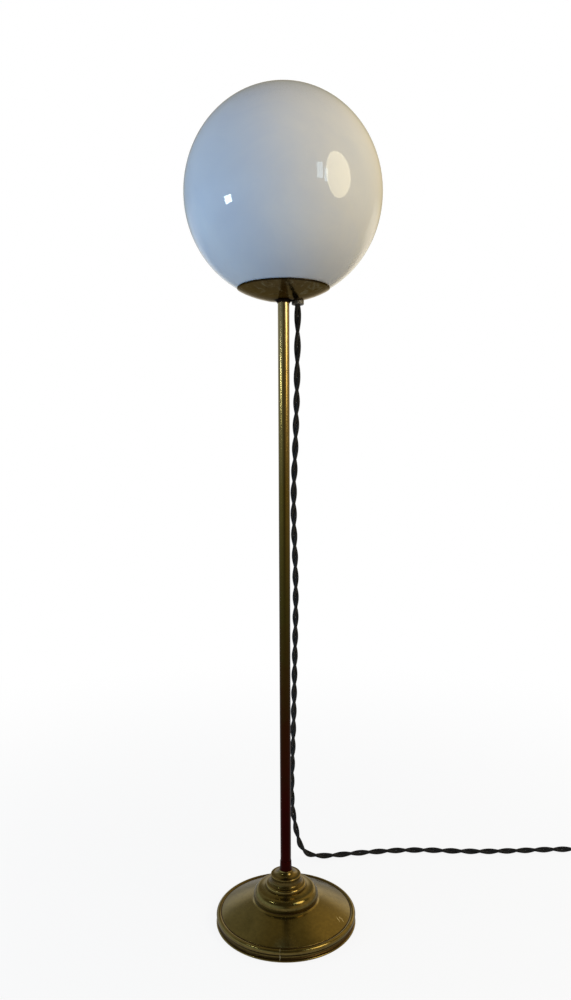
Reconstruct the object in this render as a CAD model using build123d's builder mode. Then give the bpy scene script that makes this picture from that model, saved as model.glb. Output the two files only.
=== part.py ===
from build123d import *
import os
from math import asin, atan2, cos, degrees, hypot, pi, radians, sin, sqrt, tan

# Globe floor lamp. An opal glass globe lies in a shallow spun dish on top of a slim tube, and the tube
# stands in a turned collar on a weighted, stepped foot. A lampholder and bulb stand inside the globe. The
# twisted flex leaves a bushing under the dish, hangs behind the tube and runs over the floor to a rocker
# switch, a tied coil and a two-pin plug.
# Millimetres, +Z up. The origin is on the floor, on the axis of the tube. The viewer stands at -Y.

# ---------------------------------------------------------------- driving dimensions
GLOBE_RADIUS = 125.0
GLOBE_WALL = 2.6
GLOBE_CENTRE = 985.5
GLOBE_MOUTH_HEIGHT = 871.0

BASE_RADIUS = 100.0
BASE_SHEET = 1.2
FELT_THICKNESS = 3.2
BASE_TOP = 53.0
COLLAR_RADIUS = 21.4
COLLAR_TOP = 77.5

STEM_RADIUS = 7.5
STEM_WALL = 1.2
STEM_FOOT = 60.0
STEM_TOP = 856.3

DISH_RADIUS = 59.4
DISH_SHEET = 1.2
DISH_CLEARANCE = 0.3

ROD_RADIUS = 5.0
ROD_HOLE_RADIUS = 5.2
THREAD_CLEARANCE = 0.05

FLEX_DIAMETER = 9.2
CORE_DIAMETER = 4.6
FLEX_SIDES = 6
FLOOR_GAP = 0.1
BUSHING_X = 18.5
BUSHING_Y = 12.0
BUSHING_MOUTH = 856.2
FLEX_START = 858.2

HOLDER_RADIUS = 19.5
HOLDER_SEAT = 868.0
BULB_RADIUS = 30.0
BULB_CENTRE = 975.0
BULB_CAP_RADIUS = 13.2

SWITCH_X = 530.0
SWITCH_Y = 184.0
SWITCH_LENGTH = 70.0
SWITCH_ENTRY_HEIGHT = 7.0
ROCKER_TILT = 7.0

COIL_X = 640.0
COIL_OUTER_TURN = 58.0
COIL_PITCH = 9.8
COIL_LIFT = 1.2

PLUG_AXIS_HEIGHT = 6.85

# ---------------------------------------------------------------- worked out from them
DISH_OUTSIDE = GLOBE_RADIUS + DISH_CLEARANCE + DISH_SHEET
DISH_INSIDE = GLOBE_RADIUS + DISH_CLEARANCE
STEM_BORE = STEM_RADIUS - STEM_WALL
FLEX_RADIUS = FLEX_DIAMETER / 2
CORE_RADIUS = CORE_DIAMETER / 2
FLEX_ON_FLOOR = FLEX_RADIUS + FLOOR_GAP
BUSHING_TURN = atan2(BUSHING_Y, BUSHING_X)
BUSHING_REACH = hypot(BUSHING_X, BUSHING_Y)

os.makedirs("parts", exist_ok=True)


def under_sphere(sphere_radius, reach):
    """Height of the underside of a sphere about the globe's centre, this far from the axis."""
    return GLOBE_CENTRE - sqrt(sphere_radius**2 - reach**2)


def chords(start, middle, end, count):
    """Points that divide the arc through three points of a turned profile into straight facets."""
    first = Vector(*start)
    across = Vector(*middle) - first
    along = Vector(*end) - first
    twist = 2 * (across.X * along.Y - across.Y * along.X)
    across_square = across.dot(across)
    along_square = along.dot(along)
    centre_x = first.X + (along.Y * across_square - across.Y * along_square) / twist
    centre_y = first.Y + (across.X * along_square - along.X * across_square) / twist
    radius = hypot(first.X - centre_x, first.Y - centre_y)
    begin = atan2(first.Y - centre_y, first.X - centre_x)
    sweep_angle = atan2(end[1] - centre_y, end[0] - centre_x) - begin
    if twist > 0:
        sweep_angle = sweep_angle % (2 * pi)
    else:
        sweep_angle = -(-sweep_angle % (2 * pi))
    angles = [begin + sweep_angle * step / count for step in range(count + 1)]
    return [(centre_x + radius * cos(angle), centre_y + radius * sin(angle)) for angle in angles]


def cap_points(sphere_radius, inner_reach, outer_reach, count):
    """Points on the underside of a sphere about the globe's centre, from one reach to another."""
    first = asin(inner_reach / sphere_radius)
    last = asin(outer_reach / sphere_radius)
    angles = [first + (last - first) * step / count for step in range(count + 1)]
    return [(sphere_radius * sin(angle), GLOBE_CENTRE - sphere_radius * cos(angle)) for angle in angles]


def radial_plane(turn):
    """Upright plane through the axis: its x points outwards at this angle (radians), its y points up."""
    return Plane(origin=(0, 0, 0), x_dir=(cos(turn), sin(turn), 0), z_dir=(sin(turn), -cos(turn), 0))


def beside_bushing(outward, sideways, height):
    """Point given by its reach towards the bushing, its offset across that line, and its height."""
    x = outward * cos(BUSHING_TURN) - sideways * sin(BUSHING_TURN)
    y = outward * sin(BUSHING_TURN) + sideways * cos(BUSHING_TURN)
    return (x, y, height)


# ---------------------------------------------------------------- foot
def make_base_shell():
    """Spun brass foot: rolled lip, groove, bead, shallow dome and a round step under the collar."""
    lip_foot = (BASE_RADIUS - 0.8, 0.4)
    lip_side = (BASE_RADIUS, 2.4)
    lip_top = (BASE_RADIUS - 0.8, 4.4)
    groove = (BASE_RADIUS - 3.0, 6.6)
    bead_foot = (BASE_RADIUS - 1.6, 8.8)
    bead_side = (BASE_RADIUS - 0.2, 12.6)
    bead_crown = (BASE_RADIUS - 3.6, 16.8)
    bead_inside = (BASE_RADIUS - 6.4, 16.2)
    quirk = (BASE_RADIUS - 7.2, 15.7)
    dome_foot = (BASE_RADIUS - 8.0, 16.4)
    dome_middle = (71.0, 25.4)
    dome_top = (50.5, 31.8)
    step_cove = (46.6, 33.6)
    step_foot = (44.6, 37.0)
    step_side = (45.4, 42.0)
    step_shoulder = (42.4, 49.0)
    step_turn = (step_shoulder[0] - 1.8, 50.4)
    step_crown = (38.0, 51.2)
    seat_cove = (31.4, 52.4)
    seat_edge = (29.6, BASE_TOP)
    with BuildPart() as base_shell:
        with BuildSketch(Plane.XZ):
            with BuildLine():
                Polyline(
                    *chords(lip_foot, lip_side, lip_top, 3),
                    *chords(lip_top, groove, bead_foot, 2)[1:],
                    *chords(bead_foot, bead_side, bead_crown, 4)[1:],
                    bead_inside,
                    quirk,
                    dome_foot,
                    dome_middle,
                    dome_top,
                    step_cove,
                    *chords(step_foot, step_side, step_shoulder, 3),
                    *chords(step_shoulder, step_turn, step_crown, 2)[1:],
                    seat_cove,
                    seat_edge,
                    (ROD_HOLE_RADIUS, BASE_TOP),
                    (ROD_HOLE_RADIUS, BASE_TOP - BASE_SHEET),
                    (30.0, BASE_TOP - BASE_SHEET),
                    (40.4, 48.4),
                    (43.6, 43.6),
                    (43.2, 36.0),
                    (50.0, 30.4),
                    (70.8, 24.1),
                    (91.4, 15.0),
                    (96.2, 15.0),
                    (98.0, 12.0),
                    (95.4, 6.8),
                    (97.8, 3.6),
                    (BASE_RADIUS - 1.8, 0.4),
                    close=True,
                )
            make_face()
        revolve(axis=Axis.Z)
    base_shell.part.label = "base_shell"
    export_step(base_shell.part, "parts/base_shell.step")


def make_base_weight():
    """Cast iron ballast under the shell, with a boss that carries the seat and a recess for the nut."""
    recess_radius = 17.0
    recess_top = 18.0
    boss_radius = 22.0
    with BuildPart() as base_weight:
        with BuildSketch(Plane.XZ):
            with BuildLine():
                Polyline(
                    (recess_radius, FELT_THICKNESS),
                    (93.0, FELT_THICKNESS),
                    (92.0, 13.0),
                    (70.4, 22.6),
                    (49.6, 29.0),
                    (boss_radius, 33.0),
                    (boss_radius - 1.0, BASE_TOP - BASE_SHEET),
                    (ROD_HOLE_RADIUS, BASE_TOP - BASE_SHEET),
                    (ROD_HOLE_RADIUS, recess_top),
                    (recess_radius, recess_top),
                    close=True,
                )
            make_face()
        revolve(axis=Axis.Z)
    base_weight.part.label = "base_weight"
    export_step(base_weight.part, "parts/base_weight.step")


def make_base_felt():
    """Felt disc glued under the ballast, which the lamp stands on."""
    with BuildPart() as base_felt:
        Cylinder(BASE_RADIUS - 5.0, FELT_THICKNESS, align=(Align.CENTER, Align.CENTER, Align.MIN))
    base_felt.part.label = "base_felt"
    export_step(base_felt.part, "parts/base_felt.step")


def make_base_collar():
    """Turned brass collar: flange, cove, drum with a rim, and a trumpet that rises to the ferrule."""
    flange_edge = (28.9, BASE_TOP + 0.6)
    flange_top = (28.9, BASE_TOP + 3.0)
    flange_round = (28.3, BASE_TOP + 4.6)
    cove_foot = (26.6, BASE_TOP + 5.6)
    cove_middle = (22.4, BASE_TOP + 8.6)
    cove_top = (COLLAR_RADIUS - 0.8, BASE_TOP + 13.4)
    rim_foot = (COLLAR_RADIUS, BASE_TOP + 15.6)
    rim_side = (COLLAR_RADIUS + 0.2, BASE_TOP + 16.6)
    rim_top = (COLLAR_RADIUS - 0.8, BASE_TOP + 17.6)
    trumpet_middle = (12.6, BASE_TOP + 19.6)
    trumpet_top = (9.4, COLLAR_TOP)
    ferrule_seat_radius = 9.0
    ferrule_seat_height = COLLAR_TOP - 2.0
    with BuildPart() as base_collar:
        with BuildSketch(Plane.XZ):
            with BuildLine():
                Polyline(
                    (ROD_HOLE_RADIUS, BASE_TOP),
                    (28.3, BASE_TOP),
                    flange_edge,
                    *chords(flange_top, flange_round, cove_foot, 2),
                    *chords(cove_foot, cove_middle, cove_top, 4)[1:],
                    *chords(rim_foot, rim_side, rim_top, 2),
                    *chords(rim_top, trumpet_middle, trumpet_top, 4)[1:],
                    (ferrule_seat_radius, COLLAR_TOP),
                    (ferrule_seat_radius, ferrule_seat_height),
                    (STEM_RADIUS, ferrule_seat_height),
                    (STEM_RADIUS, STEM_FOOT),
                    (ROD_HOLE_RADIUS, STEM_FOOT),
                    close=True,
                )
            make_face()
        revolve(axis=Axis.Z)
    base_collar.part.label = "base_collar"
    export_step(base_collar.part, "parts/base_collar.step")


def make_base_fixings():
    """Washer, split lock washer and nut on the rod, in the recess of the ballast."""
    recess_top = 18.0
    washer_thickness = 1.6
    lock_thickness = 2.0
    nut_thickness = 6.0
    nut_across_flats = 17.0
    washer_foot = recess_top - washer_thickness
    lock_foot = washer_foot - lock_thickness
    nut_foot = lock_foot - nut_thickness
    with BuildPart() as base_washer:
        with BuildSketch(Plane.XY.offset(washer_foot)):
            Circle(14.5)
            Circle(ROD_HOLE_RADIUS, mode=Mode.SUBTRACT)
        extrude(amount=washer_thickness)
    base_washer.part.label = "base_washer"
    export_step(base_washer.part, "parts/base_washer.step")

    with BuildPart() as base_lock_washer:
        with BuildSketch(Plane.XY.offset(lock_foot)):
            Circle(8.6)
            Circle(ROD_HOLE_RADIUS, mode=Mode.SUBTRACT)
            with Locations((7.0, 0)):
                Rectangle(5.0, 1.0, rotation=25, mode=Mode.SUBTRACT)
        extrude(amount=lock_thickness)
    base_lock_washer.part.label = "base_lock_washer"
    export_step(base_lock_washer.part, "parts/base_lock_washer.step")

    with BuildPart() as base_nut:
        with BuildSketch(Plane.XY.offset(nut_foot)):
            RegularPolygon(nut_across_flats / 2, 6, major_radius=False)
            Circle(ROD_RADIUS + THREAD_CLEARANCE, mode=Mode.SUBTRACT)
        extrude(amount=nut_thickness)
    base_nut.part.label = "base_nut"
    export_step(base_nut.part, "parts/base_nut.step")


# ---------------------------------------------------------------- stem
def make_base_rod():
    """Threaded rod that draws the stem, collar, shell and ballast together."""
    rod_foot = 6.4
    rod_top = STEM_FOOT + 18.0
    with BuildPart() as base_rod:
        with BuildSketch(Plane.XY.offset(rod_foot)):
            Circle(ROD_RADIUS)
        extrude(amount=rod_top - rod_foot)
        chamfer(base_rod.edges().group_by(Axis.Z)[0], 0.8)
        chamfer(base_rod.edges().group_by(Axis.Z)[-1], 0.8)
    base_rod.part.label = "base_rod"
    export_step(base_rod.part, "parts/base_rod.step")


def make_stem_ferrule():
    """Tapered sleeve round the tube, where it stands in the collar."""
    foot_height = COLLAR_TOP - 2.0
    shoulder_height = 83.0
    top_height = 91.0
    with BuildPart() as stem_ferrule:
        with BuildSketch(Plane.XZ):
            with BuildLine():
                Polyline(
                    (STEM_RADIUS + 0.5, top_height),
                    (STEM_RADIUS, top_height),
                    (STEM_RADIUS, foot_height),
                    (STEM_RADIUS + 1.5, foot_height),
                    (STEM_RADIUS + 1.5, COLLAR_TOP + 1.0),
                    (STEM_RADIUS + 0.8, shoulder_height),
                    close=True,
                )
            make_face()
        revolve(axis=Axis.Z)
    stem_ferrule.part.label = "stem_ferrule"
    export_step(stem_ferrule.part, "parts/stem_ferrule.step")


def make_stem_tube():
    """Drawn brass tube from the collar to the dish."""
    with BuildPart() as stem_tube:
        with BuildSketch(Plane.XY.offset(STEM_FOOT)):
            Circle(STEM_RADIUS)
            Circle(STEM_BORE, mode=Mode.SUBTRACT)
        extrude(amount=STEM_TOP - STEM_FOOT)
    stem_tube.part.label = "stem_tube"
    export_step(stem_tube.part, "parts/stem_tube.step")


def make_stem_bushes():
    """Threaded bushes brazed into both ends of the tube."""
    length = 18.0
    with BuildPart() as stem_lower_bush:
        with BuildSketch(Plane.XY.offset(STEM_FOOT)):
            Circle(STEM_BORE)
            Circle(ROD_RADIUS + THREAD_CLEARANCE, mode=Mode.SUBTRACT)
        extrude(amount=length)
    stem_lower_bush.part.label = "stem_lower_bush"
    export_step(stem_lower_bush.part, "parts/stem_lower_bush.step")

    with BuildPart() as stem_upper_bush:
        with BuildSketch(Plane.XY.offset(STEM_TOP - length)):
            Circle(STEM_BORE)
            Circle(ROD_RADIUS + THREAD_CLEARANCE, mode=Mode.SUBTRACT)
        extrude(amount=length)
    stem_upper_bush.part.label = "stem_upper_bush"
    export_step(stem_upper_bush.part, "parts/stem_upper_bush.step")


# ---------------------------------------------------------------- dish and its fixings
def make_top_collar():
    """Small dark collar between the tube and the dish, flared like a trumpet and seated to the dish."""
    flare_radius = 12.6
    neck_radius = STEM_RADIUS + 0.9
    flare_edge = (flare_radius, under_sphere(DISH_OUTSIDE, flare_radius))
    seat_inner = (ROD_HOLE_RADIUS, under_sphere(DISH_OUTSIDE, ROD_HOLE_RADIUS))
    with BuildPart() as top_collar:
        with BuildSketch(Plane.XZ):
            with BuildLine():
                Polyline(
                    (ROD_HOLE_RADIUS, STEM_TOP),
                    (neck_radius, STEM_TOP),
                    *chords((neck_radius + 0.2, STEM_TOP + 0.9), (10.0, STEM_TOP + 2.3), flare_edge, 3),
                    seat_inner,
                    close=True,
                )
            make_face()
        revolve(axis=Axis.Z)
    top_collar.part.label = "top_collar"
    export_step(top_collar.part, "parts/top_collar.step")


def make_gallery_dish():
    """Spun brass dish that follows the globe, with a rounded edge and holes for the nipple and bushing."""
    facets = 7
    outside = cap_points(DISH_OUTSIDE, ROD_HOLE_RADIUS, DISH_RADIUS, facets)
    inside = cap_points(DISH_INSIDE, ROD_HOLE_RADIUS, DISH_RADIUS * DISH_INSIDE / DISH_OUTSIDE, facets)
    edge_height = (outside[-1][1] + inside[-1][1]) / 2 + 0.3
    bushing_hole_radius = 6.6
    with BuildPart() as gallery_dish:
        with BuildSketch(Plane.XZ):
            with BuildLine():
                Polyline(*outside, (DISH_RADIUS + 0.2, edge_height), *reversed(inside), close=True)
            make_face()
        revolve(axis=Axis.Z)
        with BuildSketch(Plane.XY.offset(BUSHING_MOUTH)):
            with Locations((BUSHING_X, BUSHING_Y)):
                Circle(bushing_hole_radius)
        extrude(amount=10.0, mode=Mode.SUBTRACT)
    gallery_dish.part.label = "gallery_dish"
    export_step(gallery_dish.part, "parts/gallery_dish.step")


def make_glass_spider():
    """Pressed steel spider: a hub and three sprung arms whose fingers stand inside the globe's mouth."""
    hub_radius = 13.0
    hub_foot = 861.0
    sheet = 1.5
    arm_width = 10.0
    arm_count = 3
    elbow_reach = 38.0
    elbow_height = 867.6
    finger_reach = 42.4
    finger_top = 887.0
    with BuildPart() as glass_spider:
        with BuildSketch(Plane.XY.offset(hub_foot)):
            Circle(hub_radius)
        extrude(amount=sheet)
        for arm in range(arm_count):
            turn = BUSHING_TURN + (arm + 0.5) * 2 * pi / arm_count
            with BuildSketch(radial_plane(turn)):
                with BuildLine():
                    Polyline(
                        (hub_radius - 3.0, hub_foot),
                        (hub_radius, hub_foot),
                        (elbow_reach, elbow_height),
                        (finger_reach, elbow_height + 5.0),
                        (finger_reach, elbow_height + 9.0),
                        (finger_reach - 2.6, finger_top),
                        (finger_reach - 2.6 - sheet, finger_top),
                        (finger_reach - sheet, elbow_height + 8.4),
                        (finger_reach - sheet, elbow_height + 5.6),
                        (elbow_reach - 0.8, elbow_height + sheet),
                        (hub_radius, hub_foot + sheet),
                        (hub_radius - 3.0, hub_foot + sheet),
                        close=True,
                    )
                make_face()
            extrude(amount=arm_width / 2, both=True)
        with BuildSketch(Plane.XY.offset(hub_foot)):
            Circle(ROD_HOLE_RADIUS)
        extrude(amount=sheet, mode=Mode.SUBTRACT)
    glass_spider.part.label = "glass_spider"
    export_step(glass_spider.part, "parts/glass_spider.step")


def make_dish_fixings():
    """Hollow nipple through the dish, with the washer and thin nut that clamp dish and spider."""
    washer_foot = 862.5
    washer_thickness = 1.2
    nut_foot = washer_foot + washer_thickness
    nut_thickness = 4.0
    nut_across_flats = 14.0
    nipple_foot = STEM_TOP - 17.0
    nipple_top = HOLDER_SEAT + 8.0
    nipple_bore = 3.6
    with BuildPart() as dish_washer:
        with BuildSketch(Plane.XY.offset(washer_foot)):
            Circle(10.5)
            Circle(ROD_HOLE_RADIUS, mode=Mode.SUBTRACT)
        extrude(amount=washer_thickness)
    dish_washer.part.label = "dish_washer"
    export_step(dish_washer.part, "parts/dish_washer.step")

    with BuildPart() as dish_nut:
        with BuildSketch(Plane.XY.offset(nut_foot)):
            RegularPolygon(nut_across_flats / 2, 6, major_radius=False)
            Circle(ROD_RADIUS + THREAD_CLEARANCE, mode=Mode.SUBTRACT)
        extrude(amount=nut_thickness)
    dish_nut.part.label = "dish_nut"
    export_step(dish_nut.part, "parts/dish_nut.step")

    with BuildPart() as top_nipple:
        with BuildSketch(Plane.XY.offset(nipple_foot)):
            Circle(ROD_RADIUS)
            Circle(nipple_bore, mode=Mode.SUBTRACT)
        extrude(amount=nipple_top - nipple_foot)
    top_nipple.part.label = "top_nipple"
    export_step(top_nipple.part, "parts/top_nipple.step")


def make_cord_bushing():
    """Flanged bushing the flex leaves by, with its nut inside the dish and a grub screw in the flange."""
    flange_radius = 8.0
    body_radius = 6.4
    bore_radius = FLEX_RADIUS + 0.15
    body_top = 870.4
    nut_foot = 864.4
    nut_thickness = 3.6
    screw_radius = 1.25
    screw_height = BUSHING_MOUTH + 2.1
    screw_plane = Plane(origin=(BUSHING_X, BUSHING_Y, screw_height), x_dir=(1, 0, 0), z_dir=(0, -1, 0))
    with BuildPart() as cord_bushing:
        with BuildSketch(Plane.XY.offset(BUSHING_MOUTH)):
            with Locations((BUSHING_X, BUSHING_Y)):
                Circle(flange_radius)
        extrude(amount=8.0)
        with Locations((0, 0, GLOBE_CENTRE)):
            Sphere(DISH_OUTSIDE, mode=Mode.SUBTRACT)
        chamfer(cord_bushing.edges().group_by(Axis.Z)[0], 0.8)
        with BuildSketch(Plane.XY.offset(BUSHING_MOUTH + 2.0)):
            with Locations((BUSHING_X, BUSHING_Y)):
                Circle(body_radius)
        extrude(amount=body_top - BUSHING_MOUTH - 2.0)
        with BuildSketch(Plane.XY.offset(BUSHING_MOUTH)):
            with Locations((BUSHING_X, BUSHING_Y)):
                Circle(bore_radius)
        extrude(amount=body_top - BUSHING_MOUTH, mode=Mode.SUBTRACT)
        with BuildSketch(screw_plane):
            Circle(screw_radius)
        extrude(amount=flange_radius + 1.0, mode=Mode.SUBTRACT)
    cord_bushing.part.label = "cord_bushing"
    export_step(cord_bushing.part, "parts/cord_bushing.step")

    with BuildPart() as bushing_screw:
        with BuildSketch(screw_plane.offset(bore_radius + 0.1)):
            Circle(screw_radius)
        extrude(amount=flange_radius - bore_radius + 0.2)
        chamfer(bushing_screw.edges().group_by(Axis.Y)[0], 0.3)
    bushing_screw.part.label = "bushing_screw"
    export_step(bushing_screw.part, "parts/bushing_screw.step")

    with BuildPart() as bushing_nut:
        with BuildSketch(Plane.XY.offset(nut_foot)):
            with Locations((BUSHING_X, BUSHING_Y)):
                RegularPolygon(8.0, 6, major_radius=False, rotation=degrees(BUSHING_TURN))
                Circle(body_radius + THREAD_CLEARANCE, mode=Mode.SUBTRACT)
        extrude(amount=nut_thickness)
    bushing_nut.part.label = "bushing_nut"
    export_step(bushing_nut.part, "parts/bushing_nut.step")


# ---------------------------------------------------------------- globe
def ball_points(radius, lower_facets, upper_facets):
    """Points on a ball about the globe's centre, from the height of its mouth over the equator to the top."""
    mouth_angle = asin((GLOBE_CENTRE - GLOBE_MOUTH_HEIGHT) / radius)
    lower = [-mouth_angle * (1 - step / lower_facets) for step in range(lower_facets)]
    upper = [pi / 2 * step / upper_facets for step in range(upper_facets)]
    points = [(radius * cos(angle), GLOBE_CENTRE + radius * sin(angle)) for angle in lower + upper]
    return [*points, (0, GLOBE_CENTRE + radius)]


def make_globe():
    """Blown opal globe with a ground flat mouth."""
    outside = ball_points(GLOBE_RADIUS, 6, 8)
    inside = ball_points(GLOBE_RADIUS - GLOBE_WALL, 4, 6)
    with BuildPart() as globe:
        with BuildSketch(Plane.XZ):
            with BuildLine():
                Polyline(*outside, *reversed(inside), close=True)
            make_face()
        revolve(axis=Axis.Z)
    globe.part.label = "globe"
    export_step(globe.part, "parts/globe.step")


def make_globe_seat():
    """Soft ring in the dish that the globe's ground mouth rests on."""
    inner_radius = 44.2
    outer_radius = 49.0
    top = GLOBE_MOUTH_HEIGHT - DISH_CLEARANCE
    underside = cap_points(DISH_INSIDE - 0.15, inner_radius, outer_radius, 1)
    with BuildPart() as globe_seat:
        with BuildSketch(Plane.XZ):
            with BuildLine():
                Polyline(*underside, (outer_radius, top), (inner_radius, top), close=True)
            make_face()
        revolve(axis=Axis.Z)
    globe_seat.part.label = "globe_seat"
    export_step(globe_seat.part, "parts/globe_seat.step")


# ---------------------------------------------------------------- lampholder
def make_holder_cap():
    """Lower half of the lampholder, screwed on the nipple, with a window where the cores come in."""
    wall = 1.8
    neck_radius = 9.0
    neck_top = HOLDER_SEAT + 3.5
    dome_top = HOLDER_SEAT + 13.0
    rim = HOLDER_SEAT + 21.0
    boss_top = HOLDER_SEAT + 9.5
    inside = HOLDER_RADIUS - wall
    with BuildPart() as holder_cap:
        with BuildSketch(Plane.XZ):
            with BuildLine():
                Polyline(
                    (ROD_RADIUS + THREAD_CLEARANCE, HOLDER_SEAT),
                    (neck_radius, HOLDER_SEAT),
                    *chords((neck_radius, neck_top), (16.4, HOLDER_SEAT + 7.2), (HOLDER_RADIUS, dome_top), 3),
                    (HOLDER_RADIUS, rim),
                    (inside, rim),
                    (inside, dome_top),
                    (8.6, HOLDER_SEAT + 5.6),
                    (8.6, boss_top),
                    (ROD_RADIUS + THREAD_CLEARANCE, boss_top),
                    close=True,
                )
            make_face()
        revolve(axis=Axis.Z)
        with BuildSketch(radial_plane(BUSHING_TURN)):
            with Locations((19.0, HOLDER_SEAT + 11.0)):
                Rectangle(18.0, 13.6)
        extrude(amount=6.6, both=True, mode=Mode.SUBTRACT)
    holder_cap.part.label = "holder_cap"
    export_step(holder_cap.part, "parts/holder_cap.step")


def make_holder_insert():
    """Glazed porcelain insert: a floor for the contacts and a cup round the threaded shell."""
    floor_foot = HOLDER_SEAT + 18.0
    floor_top = HOLDER_SEAT + 25.0
    cup_top = HOLDER_SEAT + 51.0
    with BuildPart() as holder_insert:
        with BuildSketch(Plane.XZ):
            with BuildLine():
                Polyline(
                    (0, floor_foot),
                    (17.2, floor_foot),
                    (17.2, cup_top),
                    (14.3, cup_top),
                    (14.3, floor_top),
                    (0, floor_top),
                    close=True,
                )
            make_face()
        revolve(axis=Axis.Z)
    holder_insert.part.label = "holder_insert"
    export_step(holder_insert.part, "parts/holder_insert.step")


def make_holder_contacts():
    """Threaded shell and centre spring for the bulb, and the two terminals with their screws."""
    shell_foot = HOLDER_SEAT + 25.0
    shell_top = HOLDER_SEAT + 50.5
    with BuildPart() as holder_thread_shell:
        with BuildSketch(Plane.XY.offset(shell_foot)):
            Circle(14.2)
            Circle(BULB_CAP_RADIUS + 0.1, mode=Mode.SUBTRACT)
        extrude(amount=shell_top - shell_foot)
    holder_thread_shell.part.label = "holder_thread_shell"
    export_step(holder_thread_shell.part, "parts/holder_thread_shell.step")

    spring_sheet = 0.8
    spring_rise = 3.2
    with BuildPart() as holder_contact:
        with BuildSketch(Plane.XZ):
            with BuildLine():
                Polyline(
                    (-9.0, shell_foot),
                    (-4.5, shell_foot),
                    (-2.5, shell_foot + spring_rise - spring_sheet),
                    (3.5, shell_foot + spring_rise - spring_sheet),
                    (3.5, shell_foot + spring_rise),
                    (-3.0, shell_foot + spring_rise),
                    (-5.0, shell_foot + spring_sheet),
                    (-9.0, shell_foot + spring_sheet),
                    close=True,
                )
            make_face()
        extrude(amount=2.5, both=True)
    holder_contact.part.label = "holder_contact"
    export_step(holder_contact.part, "parts/holder_contact.step")

    block_height = 5.8
    block_top = HOLDER_SEAT + 18.0
    block_plane = Plane.XY.offset(block_top - block_height)
    block_centres = [beside_bushing(1.0, side, 0)[:2] for side in (-6.0, 6.0)]
    with BuildPart() as holder_terminals:
        with BuildSketch(block_plane):
            with Locations(*block_centres):
                Rectangle(10.0, 5.2, rotation=degrees(BUSHING_TURN))
        extrude(amount=block_height)
    holder_terminals.part.label = "holder_terminals"
    export_step(holder_terminals.part, "parts/holder_terminals.step")

    screw_centres = [beside_bushing(3.0, side, 0)[:2] for side in (-6.0, 6.0)]
    with BuildPart() as holder_terminal_screws:
        with BuildSketch(block_plane.offset(-1.6)):
            with Locations(*screw_centres):
                Circle(1.9)
        extrude(amount=1.6)
    holder_terminal_screws.part.label = "holder_terminal_screws"
    export_step(holder_terminal_screws.part, "parts/holder_terminal_screws.step")


def make_holder_skirt():
    """Upper half of the lampholder: a sleeve whose lip turns in over the porcelain."""
    foot = HOLDER_SEAT + 21.0
    top = HOLDER_SEAT + 53.5
    inside = HOLDER_RADIUS - 2.0
    lip_radius = 14.9
    lip_foot = HOLDER_SEAT + 51.4
    with BuildPart() as holder_skirt:
        with BuildSketch(Plane.XZ):
            with BuildLine():
                Polyline(
                    (inside, foot),
                    (HOLDER_RADIUS, foot),
                    (HOLDER_RADIUS, top - 2.0),
                    (HOLDER_RADIUS - 2.0, top),
                    (lip_radius, top),
                    (lip_radius, lip_foot),
                    (inside, lip_foot),
                    close=True,
                )
            make_face()
        revolve(axis=Axis.Z)
    holder_skirt.part.label = "holder_skirt"
    export_step(holder_skirt.part, "parts/holder_skirt.step")


# ---------------------------------------------------------------- bulb
def make_bulb():
    """Frosted bulb, closed: envelope, screw cap, glass insulator and centre contact."""
    cap_foot = HOLDER_SEAT + 31.8
    cap_top = HOLDER_SEAT + 57.0
    insulator_foot = HOLDER_SEAT + 29.9
    contact_foot = HOLDER_SEAT + 28.5
    contact_radius = 4.6
    insulator_radius = 11.0
    neck_radius = BULB_CAP_RADIUS - 0.4
    neck_foot = cap_top - 3.0
    shoulder = (15.4, 934.0)
    waist = (18.6, 944.4)
    flank_drop = 19.0
    flank = (sqrt(BULB_RADIUS**2 - flank_drop**2), BULB_CENTRE - flank_drop)
    crown = (0, BULB_CENTRE + BULB_RADIUS)
    with BuildPart() as bulb_cap:
        with BuildSketch(Plane.XZ):
            with BuildLine():
                Polyline(
                    (0, cap_foot),
                    (insulator_radius, cap_foot),
                    (BULB_CAP_RADIUS, cap_foot + 2.0),
                    (BULB_CAP_RADIUS, neck_foot),
                    (BULB_CAP_RADIUS + 0.7, cap_top),
                    (neck_radius + 0.68, cap_top),
                    (neck_radius, neck_foot),
                    (0, neck_foot),
                    close=True,
                )
            make_face()
        revolve(axis=Axis.Z)
    bulb_cap.part.label = "bulb_cap"
    export_step(bulb_cap.part, "parts/bulb_cap.step")

    with BuildPart() as bulb_insulator:
        with BuildSketch(Plane.XZ):
            with BuildLine():
                Polyline(
                    (0, insulator_foot),
                    (contact_radius + 0.8, insulator_foot),
                    (insulator_radius, cap_foot),
                    (0, cap_foot),
                    close=True,
                )
            make_face()
        revolve(axis=Axis.Z)
    bulb_insulator.part.label = "bulb_insulator"
    export_step(bulb_insulator.part, "parts/bulb_insulator.step")

    with BuildPart() as bulb_contact:
        with BuildSketch(Plane.XY.offset(contact_foot)):
            Circle(contact_radius)
        extrude(amount=insulator_foot - contact_foot)
        chamfer(bulb_contact.edges().group_by(Axis.Z)[0], 0.6)
    bulb_contact.part.label = "bulb_contact"
    export_step(bulb_contact.part, "parts/bulb_contact.step")

    with BuildPart() as bulb_glass:
        with BuildSketch(Plane.XZ):
            with BuildLine():
                Polyline(
                    (0, neck_foot),
                    (neck_radius, neck_foot),
                    shoulder,
                    waist,
                    *chords(flank, (BULB_RADIUS, BULB_CENTRE), crown, 7)[:-1],
                    crown,
                    close=True,
                )
            make_face()
        revolve(axis=Axis.Z)
    bulb_glass.part.label = "bulb_glass"
    export_step(bulb_glass.part, "parts/bulb_glass.step")


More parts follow.
